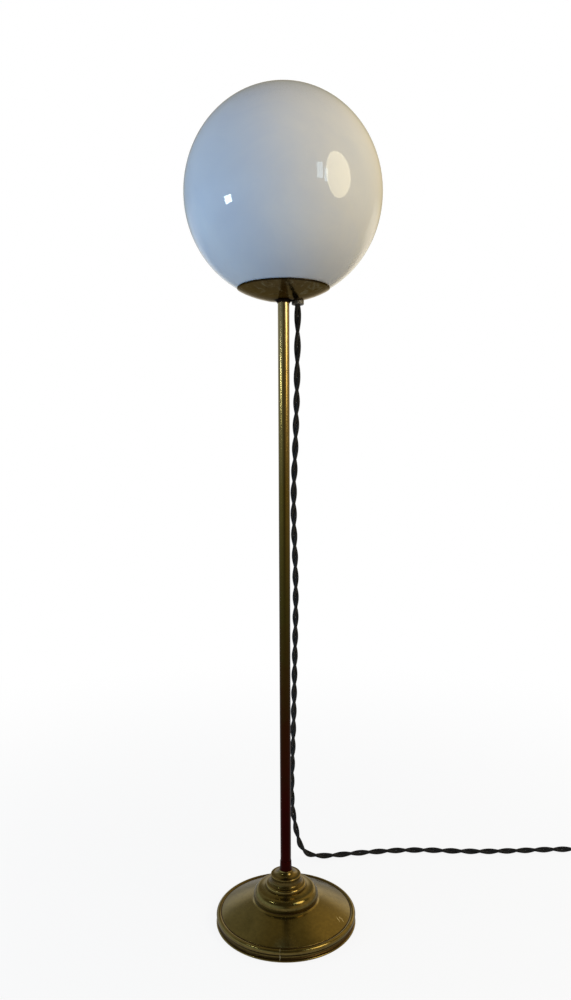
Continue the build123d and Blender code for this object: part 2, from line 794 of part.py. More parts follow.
# ---------------------------------------------------------------- flex
def corner_radii(route, name):
    """Largest soft arc at each inner point of a route: 0.45 of the shorter run over tan(half the turn)."""
    points = [Vector(*point) for point in route]
    radii = []
    for before, corner, after in zip(points, points[1:], points[2:]):
        arriving = corner - before
        leaving = after - corner
        half_turn = radians(arriving.get_angle(leaving)) / 2
        radii.append(0.45 * min(arriving.length, leaving.length) / tan(half_turn))
    print(name, "radii", [round(radius, 1) for radius in radii])
    return radii


def report_tube(name, part, length, section_area):
    """Print a tube's length and its volume beside section times length."""
    print(name, "length", round(length, 1), "volume", round(part.volume), round(section_area * length))


def make_leads():
    """The flex's two cores, untwisted, from the bushing through the holder's window to the terminals."""
    core_gap = CORE_RADIUS + 0.1
    for name, side in (("lead_live", 1), ("lead_neutral", -1)):
        route = [
            beside_bushing(BUSHING_REACH, side * core_gap, FLEX_START + 0.2),
            beside_bushing(BUSHING_REACH, side * core_gap, 872.6),
            beside_bushing(BUSHING_REACH - 3.4, side * (core_gap + 0.9), 879.6),
            beside_bushing(12.0, side * 6.0, 883.1),
            beside_bushing(6.05, side * 6.0, 883.1),
        ]
        radii = corner_radii(route, name)
        with BuildPart() as lead:
            with BuildLine() as path:
                FilletPolyline(*route, radius=radii)
            with BuildSketch(Plane(origin=route[0], z_dir=(0, 0, 1))) as section:
                RegularPolygon(CORE_RADIUS, FLEX_SIDES)
            sweep(path=path.line)
        lead.part.label = name
        export_step(lead.part, f"parts/{name}.step")
        report_tube(name, lead.part, path.wires()[0].length, section.sketch.area)


# The flex hangs behind the tube, leans back to the floor and runs off to the right.
FLEX_ROUTE = [
    (BUSHING_X, BUSHING_Y, FLEX_START),
    (18.3, 13.0, 798.0),
    (16.0, 35.0, 690.0),
    (12.0, 51.0, 594.0),
    (16.6, 70.0, 478.0),
    (14.6, 91.0, 362.0),
    (12.6, 112.0, 244.0),
    (8.8, 132.0, 130.0),
    (13.5, 142.0, 80.0),
    (26.0, 154.5, 18.0),
    (60.0, 167.0, FLEX_ON_FLOOR),
    (118.0, 179.0, FLEX_ON_FLOOR),
    (214.0, 190.0, FLEX_ON_FLOOR),
    (312.0, 181.0, FLEX_ON_FLOOR),
    (392.0, SWITCH_Y, FLEX_ON_FLOOR),
    (447.0, SWITCH_Y, SWITCH_ENTRY_HEIGHT),
    (SWITCH_X - SWITCH_LENGTH / 2, SWITCH_Y, SWITCH_ENTRY_HEIGHT),
]


def make_flex_hanging():
    """Tube along the flex from the bushing to the rocker switch."""
    radii = corner_radii(FLEX_ROUTE, "flex_hanging")
    with BuildPart() as flex_hanging:
        with BuildLine() as path:
            FilletPolyline(*FLEX_ROUTE, radius=radii)
        with BuildSketch(Plane(path.line @ 0, x_dir=(1, 0, 0), z_dir=path.line % 0)) as section:
            RegularPolygon(FLEX_RADIUS, FLEX_SIDES, rotation=30)
        sweep(path=path.line)
    flex_hanging.part.label = "flex_hanging"
    export_step(flex_hanging.part, "parts/flex_hanging.step")
    report_tube("flex_hanging", flex_hanging.part, path.wires()[0].length, section.sketch.area)


def add_biarc(start, start_way, end, end_way):
    """Two arcs that leave start along start_way and arrive at end along end_way."""
    chord = end - start
    ways = start_way + end_way
    square = 2 * (1 - start_way.dot(end_way))
    if square < 1e-9:
        reach = chord.dot(chord) / (2 * chord.dot(ways))
    else:
        linear = 2 * chord.dot(ways)
        reach = (sqrt(linear**2 + 4 * square * chord.dot(chord)) - linear) / (2 * square)
    first_corner = start + start_way * reach
    second_corner = end - end_way * reach
    joint = (first_corner + second_corner) / 2
    TangentArc(start, joint, tangent=start_way)
    TangentArc(joint, end, tangent=second_corner - first_corner)


COIL_LAYER_TURNS = 1.375
COIL_CLIMB_TURNS = 0.5
COIL_TURNS = 2 * COIL_LAYER_TURNS + COIL_CLIMB_TURNS
COIL_CENTRE_Y = SWITCH_Y - COIL_OUTER_TURN
COIL_LOW = FLEX_RADIUS + COIL_LIFT
COIL_STEP = FLEX_DIAMETER + 0.7


def coil_point(turn):
    """Point of the coil after so many turns: in on the lower layer, up, and out on the upper one."""
    radius = COIL_OUTER_TURN - COIL_PITCH * min(turn, COIL_TURNS - turn)
    climbed = min(max((turn - COIL_LAYER_TURNS) / COIL_CLIMB_TURNS, 0.0), 1.0)
    rise = climbed * climbed * (3 - 2 * climbed)
    angle = pi / 2 - 2 * pi * turn
    height = COIL_LOW + COIL_STEP * rise
    return Vector(COIL_X + radius * cos(angle), COIL_CENTRE_Y + radius * sin(angle), height)


def coil_way(turn):
    """Direction of the coil at this turn."""
    step = 1e-4
    return (coil_point(turn + step) - coil_point(turn - step)).normalized()


def make_flex_coil():
    """The stored length: one unbroken tube wound in two layers, from the switch to the plug."""
    switch_mouth = Vector(SWITCH_X + SWITCH_LENGTH / 2, SWITCH_Y, SWITCH_ENTRY_HEIGHT)
    link_start = switch_mouth + Vector(FLEX_DIAMETER, 0, 0)
    link_end = Vector(COIL_X - 24.0, SWITCH_Y, COIL_LOW)
    tail_end = coil_point(COIL_TURNS) + Vector(0, -60.0, 0)
    tail_end.Z = PLUG_AXIS_HEIGHT
    plug_mouth = tail_end - Vector(0, FLEX_DIAMETER, 0)
    onward = Vector(1, 0, 0)
    nearer = Vector(0, -1, 0)
    half_turns = [0.5 * step for step in range(int(2 * COIL_LAYER_TURNS) + 1)]
    lower_stops = half_turns + [COIL_LAYER_TURNS]
    upper_stops = [COIL_TURNS - stop for stop in reversed(lower_stops)]
    with BuildPart() as flex_coil:
        with BuildLine() as path:
            Line(switch_mouth, link_start)
            add_biarc(link_start, onward, link_end, onward)
            place = link_end
            way = onward
            for stop in lower_stops + [COIL_TURNS / 2] + upper_stops:
                next_place = coil_point(stop)
                next_way = coil_way(stop) if stop < COIL_TURNS else nearer
                add_biarc(place, way, next_place, next_way)
                place = next_place
                way = next_way
            add_biarc(place, way, tail_end, nearer)
            Line(tail_end, plug_mouth)
        with BuildSketch(Plane(switch_mouth, x_dir=(0, 1, 0), z_dir=(1, 0, 0))) as section:
            RegularPolygon(FLEX_RADIUS, FLEX_SIDES, rotation=30)
        sweep(path=path.line)
    flex_coil.part.label = "flex_coil"
    export_step(flex_coil.part, "parts/flex_coil.step")
    whole = path.wires()[0]
    report_tube("flex_coil", flex_coil.part, whole.length, section.sketch.area)
    samples = 900
    apart = 60.0
    step = whole.length / samples
    points = [whole @ (index / samples) for index in range(samples + 1)]
    skip = int(apart / step)
    least = min(
        (points[first] - points[second]).length
        for first in range(samples + 1)
        for second in range(first + skip, samples + 1)
    )
    print("flex_coil least gap to itself", round(least - FLEX_DIAMETER, 2))
    return plug_mouth


def make_coil_tie():
    """Flat strap round the bundle of turns on its near side, with its end lapped over the outside."""
    strap = 0.8
    width = 12.0
    clear = 1.2
    inner_reach = COIL_OUTER_TURN - 1.5 * COIL_PITCH - FLEX_RADIUS - clear
    outer_reach = COIL_OUTER_TURN - 0.5 * COIL_PITCH + FLEX_RADIUS + clear
    top = COIL_LOW + COIL_STEP + FLEX_RADIUS + 0.4
    tie_plane = Plane(origin=(COIL_X, COIL_CENTRE_Y, 0), x_dir=(0, -1, 0), z_dir=(-1, 0, 0))
    centre = ((inner_reach + outer_reach) / 2, (top + strap) / 2)
    with BuildPart() as coil_tie:
        with BuildSketch(tie_plane):
            with Locations(centre):
                RectangleRounded(outer_reach - inner_reach + 2 * strap, top + strap, 4.0)
                RectangleRounded(outer_reach - inner_reach, top - strap, 4.0 - strap, mode=Mode.SUBTRACT)
            with Locations((outer_reach + strap * 1.5, centre[1] - 1.0)):
                Rectangle(strap, 9.0)
        extrude(amount=width / 2, both=True)
    coil_tie.part.label = "coil_tie"
    export_step(coil_tie.part, "parts/coil_tie.step")


# ---------------------------------------------------------------- rocker switch
SWITCH_WIDTH = 28.0
SWITCH_SPLIT = 9.4
SWITCH_TOP = 19.6
ROCKER_PIVOT = 14.0
ROCKER_LENGTH = 21.0
ROCKER_WIDTH = 12.0
TRUNNION_RADIUS = 1.5
TRUNNION_LENGTH = 1.8


def switch_outline():
    """Outline of the switch from above: long, with sides that swell to the middle."""
    half = SWITCH_LENGTH / 2
    narrow = 8.6
    wide = SWITCH_WIDTH / 2
    with BuildLine() as outline:
        Line((-half, -narrow), (-half, narrow))
        ThreePointArc((-half, narrow), (0, wide), (half, narrow))
        Line((half, narrow), (half, -narrow))
        ThreePointArc((half, -narrow), (0, -wide), (-half, -narrow))
    return outline.edges()


def make_switch_case():
    """Lower and upper halves of the in-line switch, with the rocker's well in the upper one."""
    with BuildPart() as switch_lower_half:
        with BuildSketch(Plane((SWITCH_X, SWITCH_Y, 0))):
            make_face(switch_outline())
        extrude(amount=SWITCH_SPLIT)
        chamfer(switch_lower_half.edges().group_by(Axis.Z)[0], 1.4)
    switch_lower_half.part.label = "switch_lower_half"
    export_step(switch_lower_half.part, "parts/switch_lower_half.step")

    well_length = ROCKER_LENGTH + 1.4
    well_foot = SWITCH_SPLIT + 0.8
    with BuildPart() as switch_upper_half:
        with BuildSketch(Plane((SWITCH_X, SWITCH_Y, SWITCH_SPLIT))):
            make_face(switch_outline())
        extrude(amount=SWITCH_TOP - SWITCH_SPLIT)
        chamfer(switch_upper_half.edges().group_by(Axis.Z)[-1], 2.4)
        with BuildSketch(Plane((SWITCH_X, SWITCH_Y, well_foot))):
            Rectangle(well_length, ROCKER_WIDTH + 0.6)
        extrude(amount=SWITCH_TOP, mode=Mode.SUBTRACT)
        with BuildSketch(Plane((SWITCH_X, SWITCH_Y, ROCKER_PIVOT), x_dir=(1, 0, 0), z_dir=(0, 1, 0))):
            Circle(TRUNNION_RADIUS + THREAD_CLEARANCE)
        extrude(amount=ROCKER_WIDTH / 2 + TRUNNION_LENGTH + 0.3, both=True, mode=Mode.SUBTRACT)
    switch_upper_half.part.label = "switch_upper_half"
    export_step(switch_upper_half.part, "parts/switch_upper_half.step")


def make_switch_rocker():
    """Rocker with a hollowed top and two trunnions, stored at its off position."""
    half = ROCKER_LENGTH / 2
    crown = 5.4
    waist = -1.6
    toe = -3.0
    tilt = radians(ROCKER_TILT)
    pivot = (SWITCH_X, SWITCH_Y, ROCKER_PIVOT)
    rocker_plane = Plane(origin=pivot, x_dir=(cos(tilt), 0, sin(tilt)), z_dir=(0, -1, 0))
    with BuildPart() as switch_rocker:
        with BuildSketch(rocker_plane):
            with BuildLine():
                ThreePointArc((-half + 0.6, crown), (0, crown - 1.6), (half - 0.6, crown))
                Polyline(
                    (half - 0.6, crown),
                    (half - 0.2, crown - 1.0),
                    (half - 1.4, waist),
                    (2.6, toe),
                    (-2.6, toe),
                    (-half + 1.4, waist),
                    (-half + 0.2, crown - 1.0),
                    (-half + 0.6, crown),
                )
            make_face()
        extrude(amount=ROCKER_WIDTH / 2, both=True)
        with BuildSketch(rocker_plane):
            Circle(TRUNNION_RADIUS)
        extrude(amount=ROCKER_WIDTH / 2 + TRUNNION_LENGTH, both=True)
    switch_rocker.part.label = "switch_rocker"
    export_step(switch_rocker.part, "parts/switch_rocker.step")


def make_switch_screws():
    """Two screw heads sunk in the top of the switch."""
    head_reach = 22.0
    with BuildPart() as switch_screws:
        with BuildSketch(Plane((SWITCH_X, SWITCH_Y, SWITCH_TOP))):
            with Locations((-head_reach, 0), (head_reach, 0)):
                Circle(2.8)
        extrude(amount=0.7)
        chamfer(switch_screws.edges().group_by(Axis.Z)[-1], 0.3)
    switch_screws.part.label = "switch_screws"
    export_step(switch_screws.part, "parts/switch_screws.step")


# ---------------------------------------------------------------- plug
PIN_RADIUS = 2.0
PIN_LENGTH = 19.0
PIN_SPACING = 19.0


def make_plug(mouth):
    """Flat two-pin plug that lies on the floor, with its sleeve; mouth is where the flex goes in."""
    sleeve_length = 24.0
    body_length = 36.0
    half_width = 13.0
    half_heel = 7.4
    body_height = 2 * PLUG_AXIS_HEIGHT
    heel = mouth.Y - sleeve_length
    face = heel - body_length
    middle = mouth.X
    sleeve_start = Plane(mouth, x_dir=(1, 0, 0), z_dir=(0, -1, 0))
    with BuildPart() as plug_sleeve:
        with BuildSketch(sleeve_start):
            Circle(FLEX_RADIUS + 0.7)
        with BuildSketch(sleeve_start.offset(sleeve_length)):
            Circle(PLUG_AXIS_HEIGHT - 0.4)
        loft(ruled=True)
    plug_sleeve.part.label = "plug_sleeve"
    export_step(plug_sleeve.part, "parts/plug_sleeve.step")

    with BuildPart() as plug_body:
        with BuildSketch(Plane.XY):
            with BuildLine():
                Line((middle + half_heel, heel), (middle - half_heel, heel))
                ThreePointArc(
                    (middle - half_heel, heel),
                    (middle - 11.2, heel - 13.0),
                    (middle - half_width, face + 8.0),
                )
                Polyline(
                    (middle - half_width, face + 8.0),
                    (middle - half_width, face),
                    (middle + half_width, face),
                    (middle + half_width, face + 8.0),
                )
                ThreePointArc(
                    (middle + half_width, face + 8.0),
                    (middle + 11.2, heel - 13.0),
                    (middle + half_heel, heel),
                )
            make_face()
        extrude(amount=body_height)
        chamfer(plug_body.edges().filter_by(Axis.Z).group_by(Axis.Y)[0], 2.4)
        chamfer(plug_body.faces().sort_by(Axis.Z)[-1].edges(), 1.6)
        chamfer(plug_body.faces().sort_by(Axis.Z)[0].edges(), 1.6)
    plug_body.part.label = "plug_body"
    export_step(plug_body.part, "parts/plug_body.step")

    with BuildPart() as plug_pins:
        with BuildSketch(sleeve_start.offset(sleeve_length + body_length)):
            with GridLocations(PIN_SPACING, 1.0, 2, 1):
                Circle(PIN_RADIUS)
        extrude(amount=PIN_LENGTH)
        chamfer(plug_pins.edges().group_by(Axis.Y)[0], 1.0)
    plug_pins.part.label = "plug_pins"
    export_step(plug_pins.part, "parts/plug_pins.step")


make_base_shell()
make_base_weight()
make_base_felt()
make_base_collar()
make_base_fixings()
make_base_rod()
make_stem_ferrule()
make_stem_tube()
make_stem_bushes()
make_top_collar()
make_gallery_dish()
make_glass_spider()
make_dish_fixings()
make_cord_bushing()
make_globe()
make_globe_seat()
make_holder_cap()
make_holder_insert()
make_holder_contacts()
make_holder_skirt()
make_bulb()
make_leads()
make_flex_hanging()
flex_end = make_flex_coil()
make_coil_tie()
make_switch_case()
make_switch_rocker()
make_switch_screws()
make_plug(flex_end)
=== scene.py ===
import math

import bmesh
import bpy
from mathutils import Matrix, Vector


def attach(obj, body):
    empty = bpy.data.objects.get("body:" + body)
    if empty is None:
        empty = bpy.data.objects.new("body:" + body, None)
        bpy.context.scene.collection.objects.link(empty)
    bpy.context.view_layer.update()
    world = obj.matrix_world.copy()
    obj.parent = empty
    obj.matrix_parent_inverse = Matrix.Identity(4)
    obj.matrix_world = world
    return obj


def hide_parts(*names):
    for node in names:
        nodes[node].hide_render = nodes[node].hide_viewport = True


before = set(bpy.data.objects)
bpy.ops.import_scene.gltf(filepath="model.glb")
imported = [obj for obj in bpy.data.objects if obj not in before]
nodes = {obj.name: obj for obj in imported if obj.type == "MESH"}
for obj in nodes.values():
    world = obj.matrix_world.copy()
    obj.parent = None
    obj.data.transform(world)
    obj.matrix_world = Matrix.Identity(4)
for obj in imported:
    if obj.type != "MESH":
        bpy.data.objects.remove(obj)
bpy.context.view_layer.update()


# -------- foot shell
# Spun brass shell of the foot: rolled lip, groove, bead, shallow dome and a round step under the collar.
# It was lacquered once; the brass has gone olive brown and is rubbed bright on its edges.
# Its groove and coves are darkened with painted shade.
def screen(red, green, blue):
    """Linear colour of a screen colour given as 0 to 255."""
    linear = []
    for value in (red / 255, green / 255, blue / 255):
        linear.append(value / 12.92 if value <= 0.04045 else ((value + 0.055) / 1.055) ** 2.4)
    return (*linear, 1.0)


def arc(start, middle, end, steps=10):
    """Points of a turned profile on the arc through three points, without its last point."""
    ax, ay = middle[0] - start[0], middle[1] - start[1]
    bx, by = end[0] - start[0], end[1] - start[1]
    twist = 2 * (ax * by - ay * bx)
    a_square, b_square = ax * ax + ay * ay, bx * bx + by * by
    cx = (by * a_square - ay * b_square) / twist
    cy = (ax * b_square - bx * a_square) / twist
    radius = math.hypot(cx, cy)
    first = math.atan2(-cy, -cx)
    swing = math.atan2(by - cy, bx - cx) - first
    swing = swing % (2 * math.pi) if twist > 0 else -(-swing % (2 * math.pi))
    points = []
    for step in range(steps):
        angle = first + swing * step / steps
        points.append((start[0] + cx + radius * math.cos(angle), start[1] + cy + radius * math.sin(angle)))
    return points


def softened(profile, radius, closed=True):
    """Profile whose sharp corners are rounded by this radius, in millimetres."""
    count = len(profile)
    made = []
    for index, point in enumerate(profile):
        at = Vector(point)
        if not closed and index in (0, count - 1):
            made.append(tuple(at))
            continue
        before = Vector(profile[index - 1]) - at
        after = Vector(profile[(index + 1) % count]) - at
        turn = math.pi - before.angle(after)
        if turn < math.radians(24):
            made.append(tuple(at))
            continue
        cut = min(radius * math.tan(turn / 2), 0.4 * before.length, 0.4 * after.length)
        first, last = at + before.normalized() * cut, at + after.normalized() * cut
        for step in range(5):
            share = step / 4
            rest = 1 - share
            made.append(tuple(first * rest ** 2 + at * 2 * share * rest + last * share * share))
    return made


def edge_values(profile, closed, reach):
    """How convex a profile is at each point: 1 on an outer edge, -1 in a recess, 0 on plain stretches."""
    points = [Vector(point) for point in profile]
    area = sum(a.x * b.y - b.x * a.y for a, b in zip(points, points[1:] + points[:1]))
    count = len(points)
    turns = []
    for index, point in enumerate(points):
        before, after = point - points[index - 1], points[(index + 1) % count] - point
        if (not closed and index in (0, count - 1)) or min(before.length, after.length) < 1e-6:
            turns.append(0.0)
            continue
        turns.append(math.atan2(before.cross(after), before.dot(after)) * (1 if area > 0 else -1))
    values = []
    for point in points:
        near = sum(turn * max(0.0, 1 - (other - point).length / reach) for turn, other in zip(turns, points))
        values.append(max(-1.0, min(1.0, near)))
    return values


def new_object(name, data):
    """Object with this data, placed in the scene."""
    made = bpy.data.objects.new(name, data)
    bpy.context.scene.collection.objects.link(made)
    return made


def lathe(name, profile, sides=128, closed=True, ripple=None, centre=(0.0, 0.0), wear_and_shade_reach=1.4):
    """Object turned about an upright axis from (radius, height) points in millimetres.

    ripple(radius, height, turn) gives a changed radius, for threads and ribs. The wear on the edges and the
    painted shade in the recesses spread from them as far as the given reach.
    """
    mesh = bpy.data.meshes.new(name)
    shape = bmesh.new()
    edge_layer = shape.verts.layers.float.new("edge")
    rings = []
    for (radius, height), edge in zip(profile, edge_values(profile, closed, wear_and_shade_reach)):
        ring = []
        for side in range(1 if radius < 1e-6 else sides):
            turn = 2 * math.pi * side / sides
            reach = ripple(radius, height, turn) if ripple else radius
            place = (centre[0] + reach * math.cos(turn), centre[1] + reach * math.sin(turn), height)
            corner = shape.verts.new([value / 1000 for value in place])
            corner[edge_layer] = edge
            ring.append(corner)
        rings.append(ring)
    for lower, upper in zip(rings, rings[1:] + (rings[:1] if closed else [])):
        if len(lower) == len(upper) == 1:
            continue
        for side in range(sides):
            after = (side + 1) % sides
            if len(lower) == 1:
                shape.faces.new((lower[0], upper[after], upper[side]))
            elif len(upper) == 1:
                shape.faces.new((lower[side], lower[after], upper[0]))
            else:
                shape.faces.new((lower[side], lower[after], upper[after], upper[side]))
    bmesh.ops.recalc_face_normals(shape, faces=shape.faces)
    shape.to_mesh(mesh)
    shape.free()
    mesh.shade_smooth()
    return new_object(name, mesh)


def add_node(tree, kind, inputs=None, **properties):
    """New shader node; each input is given by name or number, as a value or as another node's output."""
    made = tree.nodes.new(kind)
    for key, value in properties.items():
        setattr(made, key, value)
    for key, value in (inputs or {}).items():
        if isinstance(value, bpy.types.NodeSocket):
            tree.links.new(value, made.inputs[key])
        else:
            made.inputs[key].default_value = value
    return made


def start_group(name, takes):
    """Node group with inputs {name: default} that gives Color, Roughness and Height; and its end sockets."""
    group = bpy.data.node_groups.new(name, "ShaderNodeTree")
    for socket, value in takes.items():
        kind = "NodeSocketColor" if isinstance(value, tuple) else "NodeSocketFloat"
        group.interface.new_socket(socket, in_out="INPUT", socket_type=kind).default_value = value
    for socket, kind in (("Color", "Color"), ("Roughness", "Float"), ("Height", "Float")):
        group.interface.new_socket(socket, in_out="OUTPUT", socket_type="NodeSocket" + kind)
    return group, group.nodes.new("NodeGroupInput").outputs, group.nodes.new("NodeGroupOutput").inputs


def end_group(group, gives, color, roughness, height):
    """Lead the three results of a group to its output, and hand the group back."""
    for socket, result in (("Color", color), ("Roughness", roughness), ("Height", height)):
        group.links.new(result, gives[socket])
    return group


def use_group(tree, group, **values):
    """Placed node group whose inputs are set by name, with _ for a space."""
    inputs = {name.replace("_", " "): value for name, value in values.items()}
    return add_node(tree, "ShaderNodeGroup", node_tree=group, inputs=inputs)


def add_math(tree, operation, *values, clamp=False):
    """Output of a math node on these values or sockets."""
    made = add_node(tree, "ShaderNodeMath", dict(enumerate(values)), operation=operation, use_clamp=clamp)
    return made.outputs[0]


def add_part(tree, base, value, share, clamp=False):
    """Output of the base with a share of the value added."""
    return add_math(tree, "ADD", base, add_math(tree, "MULTIPLY", value, share), clamp=clamp)


def add_mix(tree, share, first, second):
    """Output of a colour mix."""
    return add_node(tree, "ShaderNodeMix", {0: share, 6: first, 7: second}, data_type="RGBA").outputs[2]


def add_range(tree, value, low, high, to_low=0.0, to_high=1.0):
    """Output of a smooth map range, clamped."""
    inputs = {"Value": value, "From Min": low, "From Max": high, "To Min": to_low, "To Max": to_high}
    return add_node(tree, "ShaderNodeMapRange", inputs, interpolation_type="SMOOTHSTEP").outputs[0]


def object_place(tree):
    """Output with the place on the object, in metres."""
    return add_node(tree, "ShaderNodeTexCoord").outputs["Object"]


def add_noise(tree, place, scale, detail, roughness=0.5, distortion=0.0):
    """Output of a noise texture."""
    inputs = {"Vector": place, "Scale": scale, "Detail": detail, "Roughness": roughness,
              "Distortion": distortion}
    return add_node(tree, "ShaderNodeTexNoise", inputs).outputs[0]


def edge_and_recess(tree):
    """Output that is 1 on a turned piece's outer edges, -1 in its recesses and 0 on plain stretches."""
    return add_node(tree, "ShaderNodeAttribute", attribute_name="edge").outputs["Fac"]


def from_axis(tree, place):
    """Output with the distance of a place from the lamp's axis."""
    level = add_node(tree, "ShaderNodeVectorMath", {0: place, 1: (1.0, 1.0, 0.0)}, operation="MULTIPLY")
    return add_node(tree, "ShaderNodeVectorMath", {0: level.outputs[0]}, operation="LENGTH").outputs["Value"]


def new_material(name, **settings):
    """Material with a Principled shader; settings are its inputs by name, with _ for a space."""
    material = bpy.data.materials.new(name)
    material.use_nodes = True
    tree = material.node_tree
    shader = tree.nodes["Principled BSDF"]
    for key, value in settings.items():
        shader.inputs[key.replace("_", " ")].default_value = value
    return material, tree, shader


def emboss(tree, shader, height, distance, strength=1.0):
    """Give a shader relief from a height."""
    bump = add_node(tree, "ShaderNodeBump", {"Height": height, "Distance": distance, "Strength": strength})
    tree.links.new(bump.outputs[0], shader.inputs["Normal"])


def feed(tree, shader, source, relief):
    """Lead a group's Color, Roughness and Height into a shader."""
    tree.links.new(source.outputs["Color"], shader.inputs["Base Color"])
    tree.links.new(source.outputs["Roughness"], shader.inputs["Roughness"])
    emboss(tree, shader, source.outputs["Height"], relief)


def dress(piece, material, slot, *replaced, body="lamp"):
    """Give a piece its material and body, and hide the CAD nodes it stands for; slot is not used."""
    piece.data.materials.clear()
    piece.data.materials.append(material)
    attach(piece, body)
    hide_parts(*replaced)


# Old brass: mottled patina, dark specks, rings left by the spinning tool, worn edges, and painted shade in
# the recesses.
tree, takes, gives = start_group(
    "old brass",
    {"Metal": (0.3, 0.24, 0.1, 1), "Patina": (0.15, 0.11, 0.04, 1), "Grime": (0.04, 0.03, 0.02, 1),
     "Patina Amount": 0.5, "Mottle Scale": 40.0, "Speck Scale": 420.0, "Speck Amount": 0.4,
     "Rings": 0.5, "Shine": 0.24},
)
place = object_place(tree)
mottle = add_noise(tree, place, takes["Mottle Scale"], 7.0, 0.62, 0.6)
fine = add_noise(tree, place, add_math(tree, "MULTIPLY", takes["Mottle Scale"], 7.0), 4.0, 0.7)
edge = edge_and_recess(tree)
worn = add_range(tree, edge, 0.12, 0.75)
recess_shade = add_range(tree, edge, -0.08, -0.6)
threshold = add_part(tree, 1.05, takes["Patina Amount"], -0.8)
patch = add_math(tree, "SUBTRACT", add_part(tree, mottle, fine, 0.25), threshold)
patina = add_math(tree, "DIVIDE", patch, 0.35, clamp=True)
patina = add_math(tree, "ADD", patina, takes["Patina Amount"], clamp=True)
patina = add_part(tree, patina, worn, -0.7, clamp=True)
speckle = add_node(tree, "ShaderNodeTexVoronoi", {"Vector": place, "Scale": takes["Speck Scale"]})
speck = add_range(tree, speckle.outputs["Distance"], 0.26, 0.1)
speck = add_math(tree, "MULTIPLY", speck, add_range(tree, mottle, 0.5, 0.62))
speck = add_math(tree, "MULTIPLY", speck, takes["Speck Amount"])
height = add_node(tree, "ShaderNodeSeparateXYZ", {0: place}).outputs[2]
section = add_node(tree, "ShaderNodeCombineXYZ", {0: from_axis(tree, place), 1: height}).outputs[0]
rings = add_noise(tree, section, 1500.0, 3.0, 0.6)
tone = add_mix(tree, patina, takes["Metal"], takes["Patina"])
shade = add_range(tree, fine, 0.3, 0.7, 0.86, 1.14)
toned = add_node(tree, "ShaderNodeHueSaturation", {"Color": tone, "Value": shade}).outputs[0]
# Painted shade darkens the recesses, towards the same dark colour as the real specks.
specks_and_recess_shade = add_part(tree, speck, recess_shade, 0.75, clamp=True)
dull = add_part(tree, add_part(tree, takes["Shine"], patina, 0.07), specks_and_recess_shade, 0.3)
dull = add_math(tree, "ADD", dull, add_range(tree, rings, 0.3, 0.7, -0.02, 0.04), clamp=True)
relief = add_part(tree, add_math(tree, "MULTIPLY", rings, takes["Rings"]), speck, -0.8)
relief = add_part(tree, relief, fine, 0.25)
old_brass = end_group(tree, gives, add_mix(tree, specks_and_recess_shade, toned, takes["Grime"]), dull, relief)

# Its dark red third colour tints the specks and is the painted shade in the groove and coves.
foot_brass, tree, shader = new_material("foot brass", Metallic=0.96)
skin = use_group(tree, old_brass, Metal=screen(130, 112, 64), Patina=screen(96, 83, 42),
                 Grime=screen(44, 14, 10), Patina_Amount=0.45, Mottle_Scale=30.0, Speck_Scale=500.0,
                 Speck_Amount=0.5, Rings=0.6, Shine=0.14)
feed(tree, shader, skin, relief=0.00001)

# Three short scratches on the right of the dome and a nick across the bead, down to bare metal.
place = object_place(tree)
bare = 0.0
for x, y, turn, half_length, half_width in (
    (0.0728, -0.0356, -60.0, 0.0056, 0.0005), (0.0785, -0.0332, -55.0, 0.0052, 0.0005),
    (0.0753, -0.0315, -57.0, 0.0030, 0.0004), (-0.0081, -0.0955, -96.0, 0.0046, 0.0005),
):
    inputs = {"Vector": place, "Location": (x, y, 0.0), "Rotation": (0.0, 0.0, math.radians(turn)),
              "Scale": (half_length, half_width, 1.0)}
    fitted = add_node(tree, "ShaderNodeMapping", inputs, vector_type="TEXTURE").outputs[0]
    reach = add_node(tree, "ShaderNodeVectorMath", {0: fitted}, operation="LENGTH").outputs["Value"]
    bare = add_math(tree, "MAXIMUM", bare, add_range(tree, reach, 1.0, 0.5))
scratched = add_mix(tree, add_math(tree, "MULTIPLY", bare, 0.85), skin.outputs["Color"],
                    screen(226, 214, 180))
tree.links.new(scratched, shader.inputs["Base Color"])
tree.links.new(add_part(tree, skin.outputs["Roughness"], bare, 0.2), shader.inputs["Roughness"])

foot_profile = [
    *arc((99.2, 0.3), (100.0, 1.5), (99.2, 2.7), 8),
    *arc((99.2, 2.7), (95.9, 6.0), (98.3, 9.6), 12),
    *arc((98.3, 9.6), (99.7, 13.0), (96.4, 16.8), 14),
    *arc((96.4, 16.8), (93.6, 16.2), (92.8, 15.7), 5),
    *arc((92.8, 15.7), (92.5, 15.9), (92.0, 16.4), 4),
    *arc((92.0, 16.4), (71.0, 25.2), (47.4, 32.4), 20),
    *arc((47.4, 32.4), (46.1, 33.2), (45.4, 35.0), 6),
    *arc((45.4, 35.0), (46.1, 40.8), (42.4, 49.0), 14),
    *arc((42.4, 49.0), (40.6, 50.4), (38.0, 51.2), 6),
    *arc((38.0, 51.2), (33.4, 51.8), (29.6, 53.0), 6),
    (29.6, 53.0), (5.2, 53.0), (5.2, 51.8), (30.0, 51.8), (40.4, 48.4), (43.6, 43.6), (43.2, 36.0),
    (50.0, 30.4), (70.8, 24.1), (91.4, 15.0), (96.2, 15.0), (97.8, 12.0), (94.7, 6.4), (97.8, 2.6),
    (98.2, 0.3),
]
foot_shell = lathe("foot_shell", softened(foot_profile, 0.5), sides=192, wear_and_shade_reach=1.6)
dress(foot_shell, foot_brass, "foot_brass", "base_shell")


# -------- ballast and felt
# Rough cast-iron ballast inside the shell, with the green felt disc that is glued under it.
# The ballast is painted with thin black primer and has the grain of sand casting.
def finished(name, group, settings=None, *, relief, **values):
    """Material whose colour, roughness and relief all come from one node group with these values."""
    material, tree, shader = new_material(name, **(settings or {}))
    feed(tree, shader, use_group(tree, group, **values), relief)
    return material


def coat_nodes(material, *names):
    """Give CAD nodes that keep their own mesh this material."""
    for name in names:
        nodes[name].data.materials.clear()
        nodes[name].data.materials.append(material)


